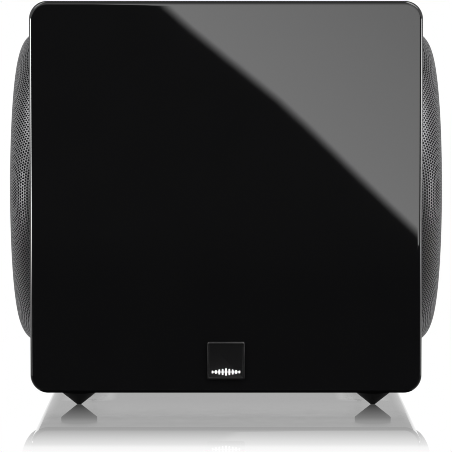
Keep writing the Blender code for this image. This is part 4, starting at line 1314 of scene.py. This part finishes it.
def grey_card():
    """A softly lit card in front, with one slanted soft edge, that the lacquered front mirrors."""
    spread = 1 + CARD_AWAY / CAMERA_DISTANCE
    y = FRONT_Y - CARD_AWAY
    edge = [Vector(point) * MM for point in CARD_EDGE]
    lit = []
    for i, point in enumerate(edge):
        along = edge[min(i + 1, len(edge) - 1)] - edge[max(i - 1, 0)]
        lit.append(point + Vector((-along.y, along.x)).normalized() * CARD_FADE * MM)
    verts = [
        (point.x * spread, y, CAMERA_HEIGHT + (point.y - CAMERA_HEIGHT) * spread) for point in edge + lit
    ]
    count = len(edge)
    strip = [[i, i + 1, count + i + 1, count + i] for i in range(count - 1)]
    right, top = 0.45, 0.6
    verts += [(right, y, verts[-1][2]), (right, y, top), (verts[count][0] - 0.3, y, top)]
    rest = list(range(count, len(verts)))
    card, nodes = stage_object("grey_card", verts, strip + [rest])
    share = card.data.attributes.new("share", "FLOAT", "POINT")
    share.data.foreach_set("value", [float(i >= count) for i in range(len(verts))])

    place = nodes.parts(nodes.node("ShaderNodeTexCoord").outputs["Object"])
    diagonal = nodes.maths("ADD", place["X"], place["Z"])
    fall = nodes.ranged(diagonal, CARD_LIGHT, CARD_LIGHT * 0.72, 0.2, 0.56)
    upper = nodes.ranged(place["Z"], 1.0, 0.0, 0.31, 0.5)
    fade = nodes.node("ShaderNodeAttribute", attribute_name="share").outputs["Fac"]
    there = nodes.times(nodes.maths("POWER", fade, 1.6), upper)
    glow = nodes.node("ShaderNodeEmission", {"Strength": fall}).outputs[0]
    clear = nodes.node("ShaderNodeBsdfTransparent").outputs[0]
    nodes.node("ShaderNodeOutputMaterial", {"Surface": nodes.mix_shaders(there, clear, glow)})
    card.visible_camera = False
    card.visible_diffuse = False
    card.visible_shadow = False


def camera():
    data = bpy.data.cameras.new("camera")
    data.sensor_width = 36
    data.lens = CAMERA_LENS
    data.shift_y = CAMERA_SHIFT
    data.clip_start = 0.05
    view = linked("camera", data)
    view.location = (0, FRONT_Y - CAMERA_DISTANCE, CAMERA_HEIGHT)
    view.rotation_euler = (math.pi / 2 - CAMERA_TILT, 0, 0)
    bpy.context.scene.camera = view


def floor():
    """A pale glossy floor whose mirror fades out a hand's width from the object."""
    far = 12
    corners = [(-far, -far, 0), (far, -far, 0), (far, far, 0), (-far, far, 0)]
    plane, nodes = stage_object("floor", corners, [(0, 1, 2, 3)])
    plane.visible_glossy = False
    node, vectors, maths, ranged = nodes.node, nodes.vectors, nodes.maths, nodes.ranged
    place = node("ShaderNodeTexCoord").outputs["Object"]
    moved = vectors("ADD", place, (0, -MIDDLE_Y, 0))
    beyond = vectors("SUBTRACT", vectors("ABSOLUTE", moved), (HALF, HALF, 0))
    parts = nodes.parts(beyond)
    inside = maths("MINIMUM", maths("MAXIMUM", parts["X"], parts["Y"]), 0.0)
    outside = vectors("LENGTH", vectors("MAXIMUM", beyond), output="Value")
    distance = maths("ADD", inside, outside)

    # Beside the front feet the mirror is hazy, or it would show the dark feet at the back
    deep = maths("MAXIMUM", parts["Y"], maths("SUBTRACT", parts["X"], 0.03))
    lanes = nodes.times(ranged(parts["X"], 0, 1, -0.058, -0.047), ranged(deep, 0, 1, -0.048, -0.062))
    haze = ranged(lanes, 0.012, 0.22, 0, 1)
    strength = nodes.times(nodes.curve(distance, MIRROR), ranged(lanes, 1, 0.75, 0, 1))
    fade = maths("SUBTRACT", 1.0, strength)
    white = node("ShaderNodeEmission", {"Color": WHITE, "Strength": 1.0}).outputs[0]
    mirror = node("ShaderNodeBsdfGlossy", {"Color": WHITE, "Roughness": haze}).outputs[0]
    sheen = ranged(node("ShaderNodeFresnel", {"IOR": 1.6}).outputs[0], 0, 1, 0.0, 0.5)
    polished = nodes.mix_shaders(sheen, white, mirror)
    node("ShaderNodeOutputMaterial", {"Surface": nodes.mix_shaders(fade, polished, white)})


carried_over()
cabinet()
rear_board()
feet()
badge()
emblem()
grilles()
for side in SIDES:
    cone(side)
    dust_cap(side)
    surround(side)
    spider(side)
amp_panel()
panel_screws()
fins()
mains_socket()
rocker_frame()
power_rocker()
control_knob("level_knob", "level_control")
control_knob("crossover_knob", "crossover_control")
slide_tab("phase_slider", "phase_switch")
slide_tab("mode_slider", "mode_switch")
line_jack("line_jack_left", "white")
line_jack("line_jack_right", "red")
small_fittings()
service_port()
scales()
lit_environment()
grey_card()
floor()
camera()
bpy.context.scene.view_settings.view_transform = "Standard"
bpy.context.scene.cycles.filter_width = 0.9
